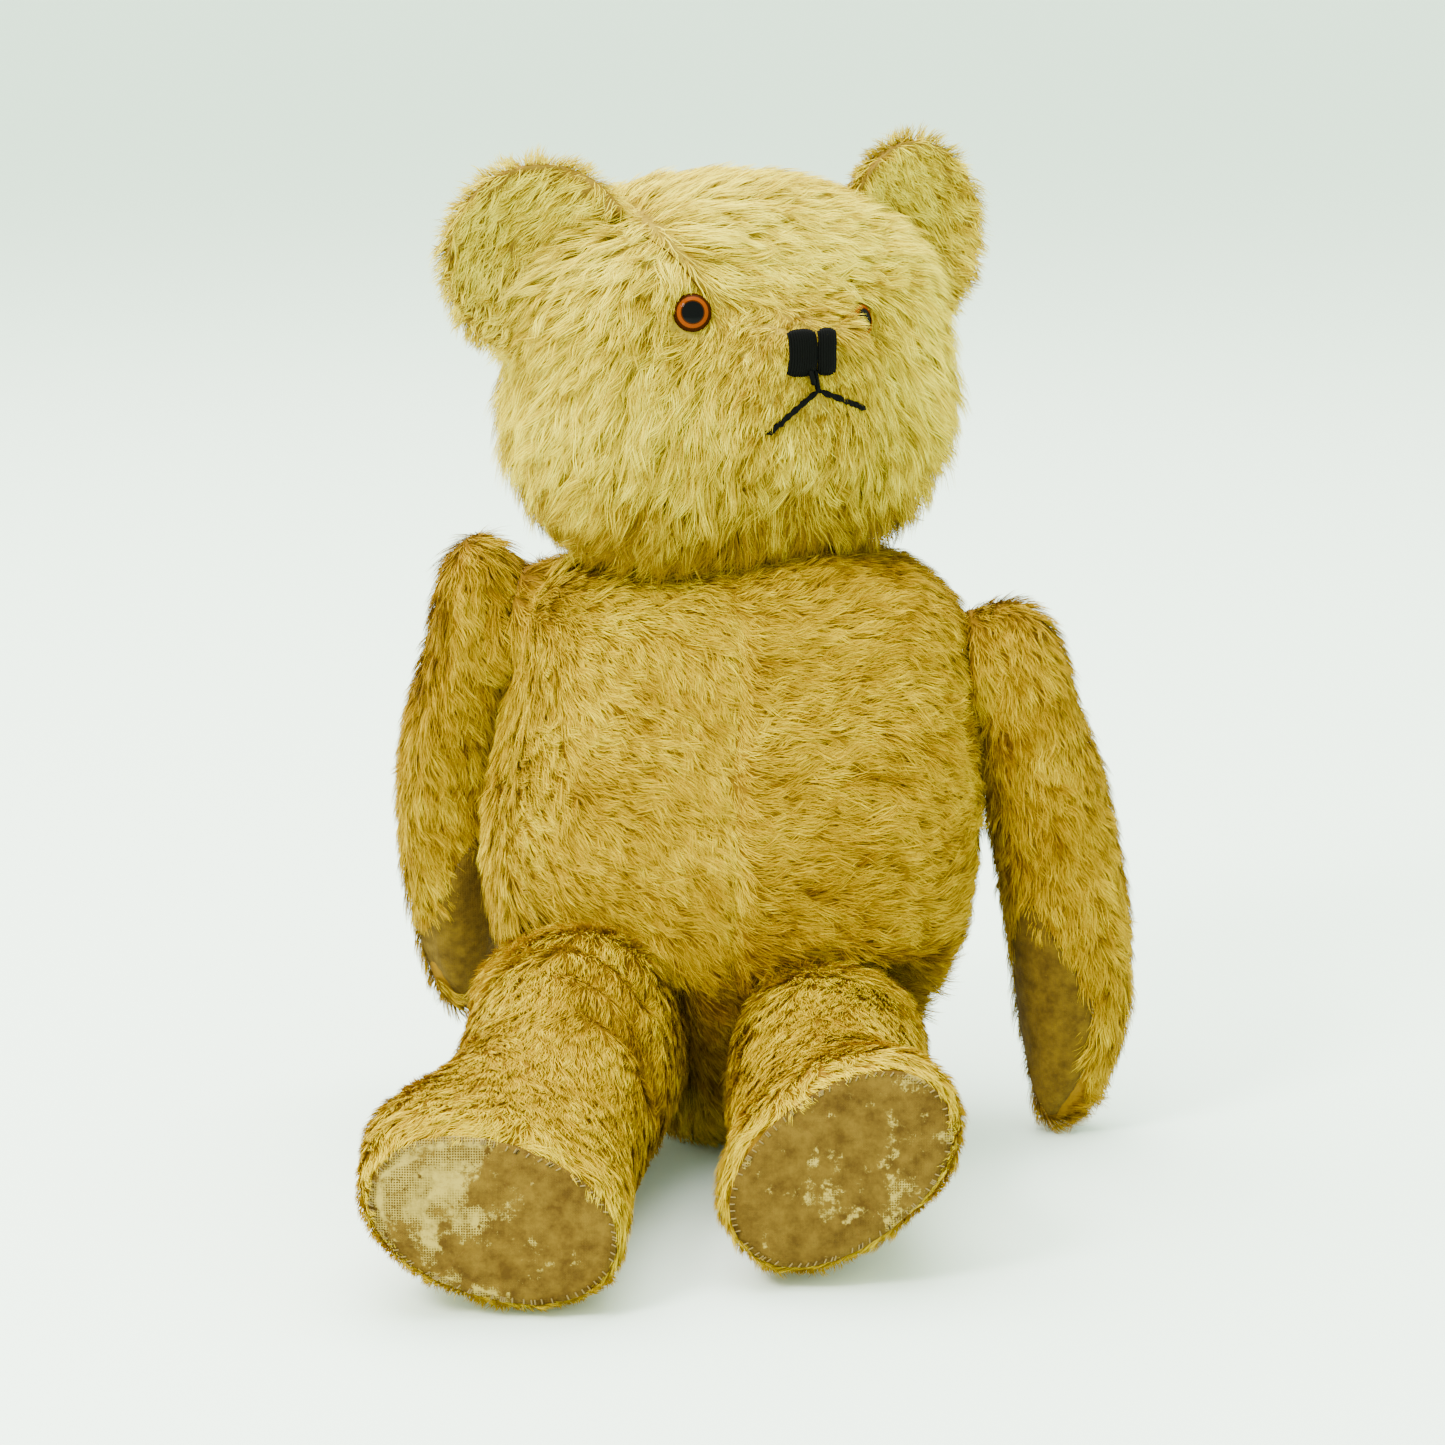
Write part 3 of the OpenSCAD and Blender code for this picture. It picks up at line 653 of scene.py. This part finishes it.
def gusset_line(side):
    """Seam of the forehead strip, from the nose past an eye to the ear, in the head's own directions."""
    eye = in_head(eyes[side][None])[0]
    s = SIDES[side]
    tip = in_head(nose[None])[0]
    return [[s * 6 * MM, tip[1] - 6 * MM, tip[2] + 6 * MM],
            [s * 12 * MM, eye[1] + 12 * MM, eye[2] + 2 * MM],
            [eye[0] - s * 6 * MM, eye[1] + 4 * MM, eye[2] + 7 * MM],
            [eye[0] + s * 3 * MM, eye[1] - 9 * MM, eye[2] + 18 * MM],
            [eye[0] + s * 12 * MM, eye[1] - 24 * MM, eye[2] + 26 * MM],
            [eye[0] + s * 14 * MM, eye[1] - 40 * MM, eye[2] + 38 * MM]]


def from_head(points):
    q = np.asarray(points, float)
    return neck + q[:, :1] * head_left + q[:, 1:2] * head_face + q[:, 2:] * UP


def make_head():
    nodes = [n for n in frame["nodes"] if n.startswith("head_")] + ["neck_disc_head", "neck_washer_head",
                                                                    "eye_left_shank", "eye_right_shank"]
    skin = from_nodes("head_skin", nodes, 2.6 * MM, 5, 1.4 * MM)
    swell(skin, 2.5 * MM, [neck])
    tree = tree_of(skin)
    seams = {s: laid_on(tree, smooth_path(from_head(gusset_line(s)), 30)) for s in SIDES}
    for seam in seams.values():
        dent(skin, seam, 2.5 * MM, 1.2 * MM)
    for s in SIDES:
        dent(skin, eyes[s][None].repeat(2, 0), 7 * MM, 1.5 * MM)
    bridge = eyes["left"] - head_left * 9 * MM + head_face * 5 * MM
    dent(skin, bridge[None].repeat(2, 0), 7 * MM, -2.5 * MM)
    skin.data.materials.append(straw_backing)
    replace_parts(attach(skin, "head"), "head_side_left", "head_side_right",
                "head_gusset", "head_stuffing")
    tree = tree_of(skin)
    eye_level = in_head(eyes["right"][None])[0][2]

    def style(p, n):
        q = in_head(p)
        outward = unit((p - muzzle) * [1, 1, 0.4])
        down = np.array([0, 0, -1.0])
        to_left = head_left - UP * 0.12
        seam = np.minimum(away_from_line(p, seams["left"]), away_from_line(p, seams["right"]))
        in_gusset = step(q[:, 2], eye_level - 2 * MM, eye_level + 8 * MM) * step(
            q[:, 0] - seam_side(q), -3 * MM, 3 * MM)
        cheek = unit(outward * 0.5 + down * 1.1) + 0.35 * ripple(p, 26 * MM, 22)[:, None] * head_left
        by_ear = np.zeros(len(p))
        for s, side in SIDES.items():
            near = bell(np.linalg.norm(p - ears[s], axis=1), 26 * MM) * step(n @ head_face, -0.5, 0.1)
            cheek = cheek + (head_left * side * 1.2 - UP * 0.2) * near[:, None]
            by_ear = by_ear + near
        crown = unit(to_left + down * 0.15 + 0.25 * ripple(p, 50 * MM, 21)[:, None] * UP)
        comb = cheek * (1 - in_gusset)[:, None] + crown * in_gusset[:, None]
        face = np.linalg.norm(p - muzzle, axis=1)
        around_eye = sum(bell(np.linalg.norm(p - eyes[s], axis=1), 9 * MM) for s in SIDES)
        short = np.clip(bell(face, 24 * MM) * 1.25 + around_eye * 0.8 + bell(seam, 1.8 * MM) * 0.6, 0, 1)
        on_bridge = bell(np.linalg.norm(p - bridge, axis=1), 8 * MM)
        short = short * (1 - 0.7 * on_bridge)
        comb = comb + (head_left * 0.8 + UP * 0.7) * on_bridge[:, None]
        low = step(q[:, 2], eye_level - 4 * MM, eye_level - 30 * MM)
        full = 14.0 + 6.0 * low - 6.0 * on_bridge + 6.0 * by_ear + 1.5 * ripple(p, 30 * MM, 23)
        length = (full * (1 - short) + 2.6 * short) * MM
        # Darker where the pile is short: the muzzle's own shorter pile, and painted shade round the eyes and
        # along the seams
        tone = 2.9 + 0.5 * ripple(p, 24 * MM, 25) + 0.4 * ripple(p, 8 * MM, 26) - 1.5 * short
        # Painted light: paler above the eyes, on the top of the head
        upper = step(q[:, 2], eye_level - 2 * MM, eye_level + 24 * MM)
        left_cheek = step(q[:, 0], 30 * MM, 62 * MM) * step(q[:, 2], 30 * MM, 60 * MM)
        # Painted shade in the last term: much darker towards the underside of the head by the neck
        tone = tone + 0.9 * upper + 0.7 * left_cheek - 4.0 * step(q[:, 2], 42 * MM, 6 * MM)
        lift = 0.3 + 0.1 * low + 0.15 * by_ear + 0.4 * on_bridge
        return {"comb": comb, "length": length, "lift": lift, "tone": tone,
                "stray": 0.3, "speckle": 1.35, "gather": 0.7 * (1 - short)}

    def seam_side(q):
        """How far to the right of the middle the right seam runs at each height and depth."""
        return np.interp(q[:, 2], [eye_level, eye_level + 26 * MM, eye_level + 40 * MM],
                         [-24 * MM, -40 * MM, -46 * MM])

    def keep(p, n):
        q = in_head(p)
        flat = (q[:, 2] < 3 * MM) & (n[:, 2] < -0.9)
        covered = distance_to(nose_tree, p) < 0.6 * MM
        for s in SIDES:
            covered |= np.linalg.norm(p - eyes[s], axis=1) < EYE_R
        return np.where(flat | covered, 0.0, 1.0)

    nose_tree = node_tree("nose_stitching")
    grow_pile("head_pile", skin, "head", STRAW, style, keep)
    return tree, seams


# ---- Ears ----

def outline(points, count, smoothing=2):
    """The rim of a flat piece: its middle, its normal and its rim points."""
    middle = (points.min(0) + points.max(0)) / 2
    _, _, ways = np.linalg.svd(points - points.mean(0), full_matrices=False)
    u, v = ways[0], ways[1]
    a, b = (points - middle) @ u, (points - middle) @ v
    angle, reach = np.arctan2(b, a), np.hypot(a, b)
    rim = []
    for t in np.arange(count) * 2 * math.pi / count:
        off = np.abs((angle - t + math.pi) % (2 * math.pi) - math.pi)
        rim.append(points[np.argmax(reach * np.cos(np.minimum(off * 3, math.pi / 2)))])
    rim = np.array(rim)
    for _ in range(smoothing):
        rim = (np.roll(rim, 1, 0) + 2 * rim + np.roll(rim, -1, 0)) / 4
    return middle, ways[2], rim


def make_ear(side):
    name = f"ear_{side}"
    skin = from_nodes(name + "_skin", [name], 1.3 * MM, 3, 0.3 * MM)
    skin.data.materials.append(ear_backing)
    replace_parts(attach(skin, "head"), name)
    middle, normal, rim = outline(node_points(name), 72)
    if normal @ head_face < 0:
        normal = -normal
    edge_line = np.vstack([rim, rim[:1]])
    outward_side = head_left * SIDES[side]

    def style(p, n):
        front = step(n @ normal, 0.0, 0.4)
        edge = bell(away_from_line(p, edge_line), 4 * MM)
        outward = unit(p - middle)
        slope = outward_side * 0.75 - UP * 0.75
        comb = slope * front[:, None] + (outward * 0.8 - UP * 0.35) * (1 - front)[:, None]
        length = (9.5 - 3.0 * edge * front) * MM
        tone = 3.9 - 0.7 * edge * front + 1.0 * ripple(p, 16 * MM, 31) + 0.8 * ripple(p, 6 * MM, 32)
        # Painted shade on the left ear and painted light on the right ear, which faces the key lamp
        tone = tone + (-0.8 if side == "left" else 0.5)
        return {"comb": comb, "length": length, "lift": np.full(len(p), 0.4), "tone": tone, "speckle": 1.5}

    def keep(p, n):
        front = step(n @ normal, 0.0, 0.4)
        edge = bell(away_from_line(p, edge_line), 2.2 * MM)
        return 1 - 0.2 * front - 0.25 * edge

    grow_pile(name + "_pile", skin, "head", STRAW, style, keep)


ear_backing = backing_material("mohair_ear_backing", srgb(98, 70, 16), srgb(134, 104, 34))


# ---- Face ----

black_thread = material("thread_black", srgb(4, 4, 3), 0.7, Specular_IOR_Level=0.04)
# Dark line laid in the head's seams: painted shade of the seam's crack
seam_shade_line = material("seam_crack_shade", srgb(66, 42, 6), 0.9, Specular_IOR_Level=0.05)
cream_thread = material("thread_cream", srgb(112, 88, 34), 0.8)


def make_nose():
    """Two lobes of upright satin stitches with a sliver of cloth between them, and a tail below."""
    co = node_points("nose_stitching")
    wide, high = co @ head_left, co @ UP
    left_edge, right_edge = wide.max() + 0.3 * MM, wide.min() - 1.4 * MM
    top, bottom = high.max() + 0.5 * MM, high.min() - 0.5 * MM
    front = (co @ head_face).max()
    span = left_edge - right_edge
    gap = right_edge + span * 0.60
    threads = []
    for low, upper in ((right_edge, gap - 0.5 * MM), (gap + 0.6 * MM, left_edge)):
        count = max(3, round((upper - low) / (0.85 * MM)))
        for k in range(count):
            across = low + (upper - low) * (k + 0.5) / count
            crown = 1 - abs(2 * (k + 0.5) / count - 1) ** 3
            t = np.linspace(0, 1, 15)
            depth = (1 - np.abs(2 * t - 1) ** 4) * (1.2 + 0.9 * crown) * MM - 3.0 * MM
            lean = (0.4 * MM) * np.sin(t * math.pi) * (1 if low == right_edge else -1)
            rise = top + (bottom - top) * t + (1 - crown) * 1.3 * MM * (0.5 - t) * -2
            path = ((across + lean)[:, None] * head_left + (front + depth)[:, None] * head_face
                    + rise[:, None] * UP)
            threads.append(tube(f"stitch_{len(threads)}", path, 0.58 * MM, black_thread, sides=7))
    tail = np.array([0.45, 0.48, 0.55])
    path = [(right_edge + span * a) * head_left + (front - d * MM) * head_face + (bottom - z * MM) * UP
            for a, d, z in zip(tail, (1.5, 1.0, 2.4), (-2.0, 0.8, 3.0))]
    threads.append(tube("stitch_tail", smooth_path(path, 10), 0.9 * MM, black_thread, sides=7, taper=0.5))
    return joined("nose_satin", threads)


def make_mouth(tree):
    """Twisted thread: a stem under the nose and an arm to each side, laid on the skin."""
    def under_nose(left, down):
        return nose + (head_left * left - UP * down) * MM

    apex = under_nose(2.5, 13)
    lines = [[under_nose(1.0, 6), apex],
             [apex, under_nose(-6, 19), under_nose(-13, 25), under_nose(-18, 29)],
             [apex, under_nose(13, 17), under_nose(20, 19.5), under_nose(24.5, 21)]]
    threads = []
    for line in lines:
        line = laid_on(tree, smooth_path(line, 24) + head_face * 3 * MM, 1.8 * MM)
        line[-1] -= head_face * 1.2 * MM
        for turn in (0, math.pi):
            t = np.arange(len(line)) * 1.1 + turn
            twist = np.cos(t)[:, None] * UP + np.sin(t)[:, None] * head_face
            threads.append(tube(f"mouth_{len(threads)}", line + twist * 0.5 * MM, 0.75 * MM, black_thread,
                                sides=7, taper=0.5))
    return joined("mouth_thread", threads)


def make_eye(side):
    """Blown glass eye: a domed button with an amber ring round a black pupil."""
    centre, out = eyes[side], looks[side]
    radius, dome = EYE_R, 3.6 * MM
    u = unit(np.cross(out, UP))
    v = np.cross(u, out)
    rings, around = 16, 40
    shares = np.linspace(0, 1, rings + 1)
    verts = [centre + out * (dome - 1.2 * MM)]
    for s in shares[1:]:
        lift = dome * math.sqrt(1 - (s * 0.995) ** 2) - 1.2 * MM
        verts += [centre + out * lift + radius * s * (u * math.cos(a) + v * math.sin(a))
                  for a in np.arange(around) * 2 * math.pi / around]
    verts += [centre - out * 2.5 * MM + radius * 0.9 * (u * math.cos(a) + v * math.sin(a))
              for a in np.arange(around) * 2 * math.pi / around]
    tris, index = [], []
    band = [0 if s < 0.6 else 1 if s < 0.66 else 2 if s < 0.86 else 3 for s in shares[1:]] + [3]
    for j in range(around):
        tris.append((0, 1 + j, 1 + (j + 1) % around))
        index.append(0)
    for k in range(rings):
        for j in range(around):
            a, b = 1 + k * around + j, 1 + k * around + (j + 1) % around
            tris += [(a, a + around, b + around), (a, b + around, b)]
            index += [band[min(k + 1, rings)]] * 2
    obj = new_object(f"eye_{side}_button", triangle_mesh(f"eye_{side}_button", np.array(verts),
                                                         np.array(tris), index), *eye_glass)
    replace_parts(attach(obj, "head"), f"eye_{side}_glass", f"eye_{side}_pupil")


eye_glass = [material(f"eye_{n}", srgb(*c), 0.4, Specular_IOR_Level=0.0, Coat_Weight=gloss,
                      Coat_Roughness=0.03)
             for n, c, gloss in (("pupil", (2, 2, 2), 0.12), ("inner", (50, 20, 0), 0.05),
                                 ("amber", (112, 47, 0), 0.05), ("rim", (46, 18, 0), 0.05))]


# ---- Limbs ----

def felt_material(name, dark, pale, worn, wear_at=None, wear_size=20 * MM, streaks=0.9):
    """Brushed felt, with its woven backing where it is worn through."""
    m = material(name, dark, 0.95, Specular_IOR_Level=0.1)
    coords = object_coords(m)
    felt = ramp(m, noise(m, coords, 160, 6, 0.7), [(0.35, dark), (0.65, pale)])
    threads = weave(m, coords, 0.42 * MM)
    crackle = noise(m, coords, 130, 10, 0.82)
    patch = noise(m, coords, 70, 4, 0.6)
    wear = maths(m, "MULTIPLY", maths(m, "MULTIPLY", crackle, patch), 1.6)
    if wear_at is not None:
        off = add_node(m, "ShaderNodeVectorMath", operation="DISTANCE")
        wire(m, coords, off.inputs[0])
        off.inputs[1].default_value = tuple(wear_at)
        near = maths(m, "SUBTRACT", 1.0, maths(m, "DIVIDE", off.outputs["Value"], wear_size))
        wear = maths(m, "ADD", wear, maths(m, "MULTIPLY", near, 0.3))
    wear = maths(m, "ADD", wear, maths(m, "MULTIPLY", noise(m, coords, 500, 4, 0.7), 0.12))
    share = ramp(m, wear, [(streaks + 0.06, (0, 0, 0, 1)), (streaks + 0.12, (1, 1, 1, 1))])
    cloth = ramp(m, maths(m, "MULTIPLY", threads, crackle), [(0.22, dark), (0.55, worn)])
    holes = ramp(m, noise(m, coords, 210, 5, 0.7), [(0.6, (0, 0, 0, 1)), (0.64, (1, 1, 1, 1))])
    cloth = mixed(m, holes, cloth, dark)
    wire(m, mixed(m, share, felt, cloth), m.node_tree.nodes["Principled BSDF"].inputs["Base Color"])
    height = maths(m, "ADD", maths(m, "MULTIPLY", threads, 0.4), maths(m, "MULTIPLY", crackle, 1.0))
    bump(m, height, 0.6, 0.6 * MM)
    return m


def stitches(name, rim, inward, count, length, radius, mat, body, lean=0.0):
    """Short straight stitches across a seam."""
    threads = []
    n = len(rim)
    along = unit(np.roll(rim, -1, 0) - np.roll(rim, 1, 0))
    for k in range(count):
        i = int(k * n / count) % n
        way = unit(inward[i] + along[i] * lean)
        a, b = rim[i] - way * length / 2, rim[i] + way * length / 2
        path = smooth_path([a, (a + b) / 2, b], 5)
        threads.append(tube(f"{name}_{k}", path, radius, mat, sides=5))
    obj = joined(name, threads)
    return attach(obj, body)


def make_arm(side):
    body = f"arm_{side}"
    nodes = [n for n in frame["nodes"] if n.startswith(body)] + [f"shoulder_{side}_disc_arm",
                                                                 f"shoulder_{side}_washer_arm"]
    skin = from_nodes(body + "_skin", nodes, 2.6 * MM, 5, 1.2 * MM)
    swell(skin, 2.2 * MM, [shoulders[side]])
    skin.data.materials.append(gold_backing)
    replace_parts(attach(skin, body), body + "_cover", body + "_stuffing")
    low, high = (np.array(v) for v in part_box(body + "_cover"))
    pad_tree = node_tree(body + "_paw_pad")
    pad_middle = node_middle(body + "_paw_pad")
    axis = shoulder_axes[side]
    down = unit(np.array([0, 0, -1.0]) + 0.25 * axis)

    def style(p, n):
        share = (high[2] - p[:, 2]) / (high[2] - low[2])
        inner = step(-(n @ axis), 0.2, 0.8) * step(share, 0.5, 0.1)
        comb = down + 0.3 * ripple(p, 50 * MM, 41)[:, None] * np.array([0, 1.0, 0]) + axis * 0.1
        comb = comb + 0.25 * ripple(p, 20 * MM, 42)[:, None] * np.array([0.6, 1.0, 0])
        by_pad = bell(distance_to(pad_tree, p), 7 * MM)
        comb = comb + unit(pad_middle - p) * (1.1 * by_pad)[:, None]
        length = (11.0 + 1.2 * ripple(p, 40 * MM, 43)) * MM
        # Painted light and shade by side: the right arm, towards the key lamp, is paler than the left
        tone = (2.1 if side == "left" else 2.4) + 0.5 * ripple(p, 24 * MM, 45)
        # Painted shade on the upper inner side of the arm, where it hangs against the torso
        tone = tone + 0.35 * ripple(p, 9 * MM, 46) - 1.6 * inner
        return {"comb": comb, "length": length, "lift": np.full(len(p), 0.3), "tone": tone}

    def keep(p, n):
        seat = (np.abs((p - shoulders[side]) @ axis) < 4 * MM) & (
            np.linalg.norm(p - shoulders[side], axis=1) < JOINT_R + 4 * MM)
        return np.where(seat | (distance_to(pad_tree, p) < PAD_GAP), 0.0, 1.0)

    grow_pile(body + "_pile", skin, body, GOLD, style, keep)
    pad = from_nodes(body + "_pad", [body + "_paw_pad"], 1.0 * MM, 4, -0.5 * MM)
    pad.data.materials.append(paw_felt)
    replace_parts(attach(pad, body), body + "_paw_pad")
    middle, _, rim = outline(node_points(body + "_paw_pad"), 96, 3)
    rim = laid_on(tree_of(pad), rim, 0.2 * MM)
    inward = unit(middle - rim)
    stitches(body + "_pad_stitches", rim, inward, 60, 1.6 * MM, 0.28 * MM, cream_thread, body, lean=0.5)


# Creases of the legs, from the middle of each sole, in millimetres
LEG_FOLDS = {"right": [[(20, 106, 54), (38, 99, 46), (52, 93, 31), (57, 87, 12)],
                       [(30, 84, 52), (48, 84, 37), (57, 82, 20)],
                       [(0, 126, 56), (24, 121, 54), (46, 110, 42)]],
             "left": [[(-34, 96, 20), (-38, 92, 4)]]}
# A fuller outer side of the right foot
LEG_BULGES = {"right": [(-40, 34, 24)], "left": []}
# Thighs, where the belly rests on them
THIGH_RISE = {"right": 8 * MM, "left": 6 * MM}


def make_leg(side):
    body = f"leg_{side}"
    nodes = [n for n in frame["nodes"] if n.startswith(body)] + [f"hip_{side}_disc_leg",
                                                                 f"hip_{side}_washer_leg"]
    skin = from_nodes(body + "_skin", nodes, 2.8 * MM, 5, 1.2 * MM)
    co = points_of(skin.data)
    rise = bell(co[:, 1] - belly_front[1] + 8 * MM, 24 * MM) * step(normals_of(skin.data)[:, 2], 0.0, 0.8)
    move_points(skin, co + UP * (THIGH_RISE[side] * rise)[:, None])
    swell(skin, 2.2 * MM, [hips[side]])
    for bulge in LEG_BULGES[side]:
        dent(skin, (soles[side] + np.array(bulge) * MM)[None].repeat(2, 0), 24 * MM, -8 * MM)
    folds = [laid_on(tree_of(skin), smooth_path(soles[side] + np.array(f) * MM, 16)) for f in LEG_FOLDS[side]]
    for fold in folds:
        dent(skin, fold, 4 * MM, 4.5 * MM)
    skin.data.materials.append(gold_backing)
    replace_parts(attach(skin, body), body + "_cover", body + "_stuffing",
                body + "_sole_card")
    pad_name = body + "_foot_pad"
    pad_tree = node_tree(pad_name)
    middle, _, rim = outline(node_points(pad_name), 96, 2)
    sole_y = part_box(pad_name)[0][1]
    rim[:, 1] = sole_y

    def style(p, n):
        along = np.stack([np.zeros(len(p)), -np.ones(len(p)), -0.35 * np.ones(len(p))], 1)
        along = along + 0.35 * ripple(p, 45 * MM, 51)[:, None] * np.array([1.0, 0, 0])
        along = along + 0.3 * ripple(p, 20 * MM, 52)[:, None] * np.array([1.0, 0, 0.4])
        foot = step(p[:, 1], sole_y + 30 * MM, sole_y + 6 * MM)
        spread = unit((p - middle) * [1, 0, 1])
        comb = along * (1 - 0.45 * foot)[:, None] + spread * (0.65 * foot)[:, None]
        under_belly = step(n[:, 2], 0.2, 0.8) * bell(p[:, 1] - belly_front[1], 26 * MM)
        length = (9.0 + 1.0 * ripple(p, 40 * MM, 53) - 0.5 * foot + 3.0 * under_belly) * MM
        inner = bell(np.linalg.norm(p - crotch, axis=1), 26 * MM)
        # Painted shade towards the crotch between the legs, and painted light on the feet, which stick out
        # into the light
        tone = 3.1 + 0.5 * ripple(p, 26 * MM, 55) + 0.35 * ripple(p, 9 * MM, 56) - 1.4 * inner + 1.1 * foot
        # Painted light on the thigh tops, which sit in the belly's shadow
        tone = tone + 1.1 * under_belly
        for fold in folds:
            in_fold = bell(away_from_line(p, fold), 4.5 * MM)
            # Painted shade in the creases, besides the shorter pile there
            tone = tone - 2.9 * in_fold
            length = length - 5.0 * MM * in_fold
        return {"comb": comb, "length": length, "lift": 0.24 + 0.12 * under_belly, "tone": tone,
                "stray": 0.2, "speckle": 0.6}

    def keep(p, n):
        seat = np.linalg.norm(p - hips[side], axis=1) < JOINT_R
        sole = (p[:, 1] < sole_y + 3 * MM) & (n[:, 1] < -0.75)
        return np.where(seat | sole | (distance_to(pad_tree, p) < PAD_GAP), 0.0, 1.0)

    grow_pile(body + "_pile", skin, body, GOLD, style, keep)
    rings, around = 14, len(rim)
    verts = [middle * [1, 0, 1] + [0, sole_y - SOLE_DOME, 0]]
    for k in range(1, rings + 1):
        s = k / rings
        ring = verts[0] * [1, 0, 1] + (rim - verts[0] * [1, 0, 1]) * s
        ring[:, 1] = sole_y - SOLE_DOME * (1 - s**4) + 0.25 * MM * ripple(ring, 12 * MM, 57)
        verts += list(ring)
    edge = (rim - middle) * 0.98 + middle
    edge[:, 1] = sole_y + 3.5 * MM
    verts += list(edge)
    tris = [(0, 1 + (j + 1) % around, 1 + j) for j in range(around)]
    for k in range(rings):
        for j in range(around):
            a, b = 1 + k * around + j, 1 + k * around + (j + 1) % around
            tris += [(a, b + around, a + around), (a, b, b + around)]
    pad = new_object(body + "_pad", triangle_mesh(body + "_pad", np.array(verts), np.array(tris)),
                     sole_felts[side])
    bm = bmesh.new()
    bm.from_mesh(pad.data)
    bmesh.ops.recalc_face_normals(bm, faces=bm.faces)
    bm.to_mesh(pad.data)
    bm.free()
    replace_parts(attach(pad, body), pad_name)
    inward = unit(middle * [1, 0, 1] - rim * [1, 0, 1])
    seam = rim + inward * 1.0 * MM
    seam[:, 1] = sole_y - 0.5 * MM
    stitches(body + "_pad_stitches", seam, inward, 84, 1.7 * MM, 0.26 * MM, cream_thread, body, lean=0.3)


paw_felt = felt_material("felt_paw", srgb(66, 46, 4), srgb(96, 72, 12), srgb(120, 94, 30), streaks=0.62)
worn_cloth = srgb(158, 134, 58)
sole_felts = {
    "right": felt_material("felt_sole_right", srgb(68, 46, 8), srgb(102, 76, 20), worn_cloth,
                           soles["right"] + np.array([-24 * MM, 0, 12 * MM]), 48 * MM, 0.53),
    "left": felt_material("felt_sole_left", srgb(66, 45, 8), srgb(98, 73, 20), worn_cloth, streaks=0.47)}


# ---- Hidden works, thread and metal ----

def hidden_works():
    """Finishes for the CAD pieces inside: hardboard discs, steel pins and washers."""
    board = material("hardboard", srgb(110, 74, 44), 0.75)
    coords = object_coords(board)
    grain = ramp(board, noise(board, coords, 900, 8, 0.8), [(0.3, srgb(84, 54, 30)), (0.7, srgb(136, 96, 60))])
    wire(board, grain, board.node_tree.nodes["Principled BSDF"].inputs["Base Color"])
    steel = material("steel", srgb(170, 170, 168), 0.35, Metallic=1.0)
    coords = object_coords(steel)
    bump(steel, noise(steel, coords, 1500, 4), 0.2, 0.05 * MM)
    for name, obj in frame["nodes"].items():
        if "_disc_" in name:
            obj.data.materials[0] = board
        elif "_washer_" in name or name.endswith(("_pin", "_shank")):
            obj.data.materials[0] = steel


def closing_stitches(tree):
    """Hand stitches down the lower back."""
    low, high = (np.array(v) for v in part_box("closing_thread"))
    threads = []
    for k in range(9):
        z = low[2] + (high[2] - low[2]) * k / 8
        mid = np.array([0, high[1], z])
        path = [mid - [3.5 * MM, 0, 0.8 * MM], mid, mid + [3.5 * MM, 0, 0.8 * MM]]
        path = laid_on(tree, smooth_path(path, 7), 0.5 * MM)
        threads.append(tube(f"closing_{k}", path, 0.5 * MM, cream_thread, sides=6, taper=0.5))
    obj = joined("closing_stitches", threads)
    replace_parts(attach(obj, "torso"), "closing_thread")


# ---- Stage ----

def make_stage():
    floor_mat = material("floor", srgb(236, 248, 236), 0.7)
    me = bpy.data.meshes.new("floor")
    me.from_pydata([(-30, -6, 0), (30, -6, 0), (30, 54, 0), (-30, 54, 0)], [], [(0, 1, 2, 3)])
    floor = new_object("floor", me, floor_mat)
    floor.location.z = -0.0005
    world = bpy.data.worlds.new("studio")
    bpy.context.scene.world = world
    world.use_nodes = True
    background = world.node_tree.nodes["Background"]
    background.inputs["Color"].default_value = srgb(226, 250, 229)
    background.inputs["Strength"].default_value = 3.0
    for name, at, size, power in (("key", (-1.0, -1.2, 1.5), 0.5, 60), ("top", (-0.4, 0.4, 2.6), 3.0, 250)):
        light = bpy.data.lights.new(name, "AREA")
        light.size, light.energy = size, power
        obj = bpy.data.objects.new(name, light)
        obj.location = at
        obj.rotation_euler = (Vector((0, 0, 0.18)) - Vector(at)).to_track_quat("-Z", "Y").to_euler()
        bpy.context.scene.collection.objects.link(obj)


def make_camera():
    cam = bpy.data.cameras.new("camera")
    cam.lens, cam.sensor_width = 98, 36
    obj = bpy.data.objects.new("camera", cam)
    aim = Vector((-0.0026, 0, 0.149))
    rise = math.radians(11.5)
    obj.location = aim + 1.4 * Vector((0, -math.cos(rise), math.sin(rise)))
    obj.rotation_euler = (aim - obj.location).to_track_quat("-Z", "Y").to_euler()
    bpy.context.scene.collection.objects.link(obj)
    bpy.context.scene.camera = obj


make_camera()
make_stage()
hidden_works()
torso = make_torso()
closing_stitches(tree_of(torso))
head_tree, seams = make_head()
for side in SIDES:
    make_ear(side)
    make_eye(side)
    make_arm(side)
    make_leg(side)
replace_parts(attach(make_nose(), "head"), "nose_stitching")
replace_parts(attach(make_mouth(head_tree), "head"), "mouth_stitching")
# Thin dark tubes along the upper part of each seam: painted shade in the seam's crack
for side, line in seams.items():
    seam = tube(f"gusset_seam_shade_{side}", line[12:], 0.3 * MM, seam_shade_line, sides=6)
    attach(seam, "head")
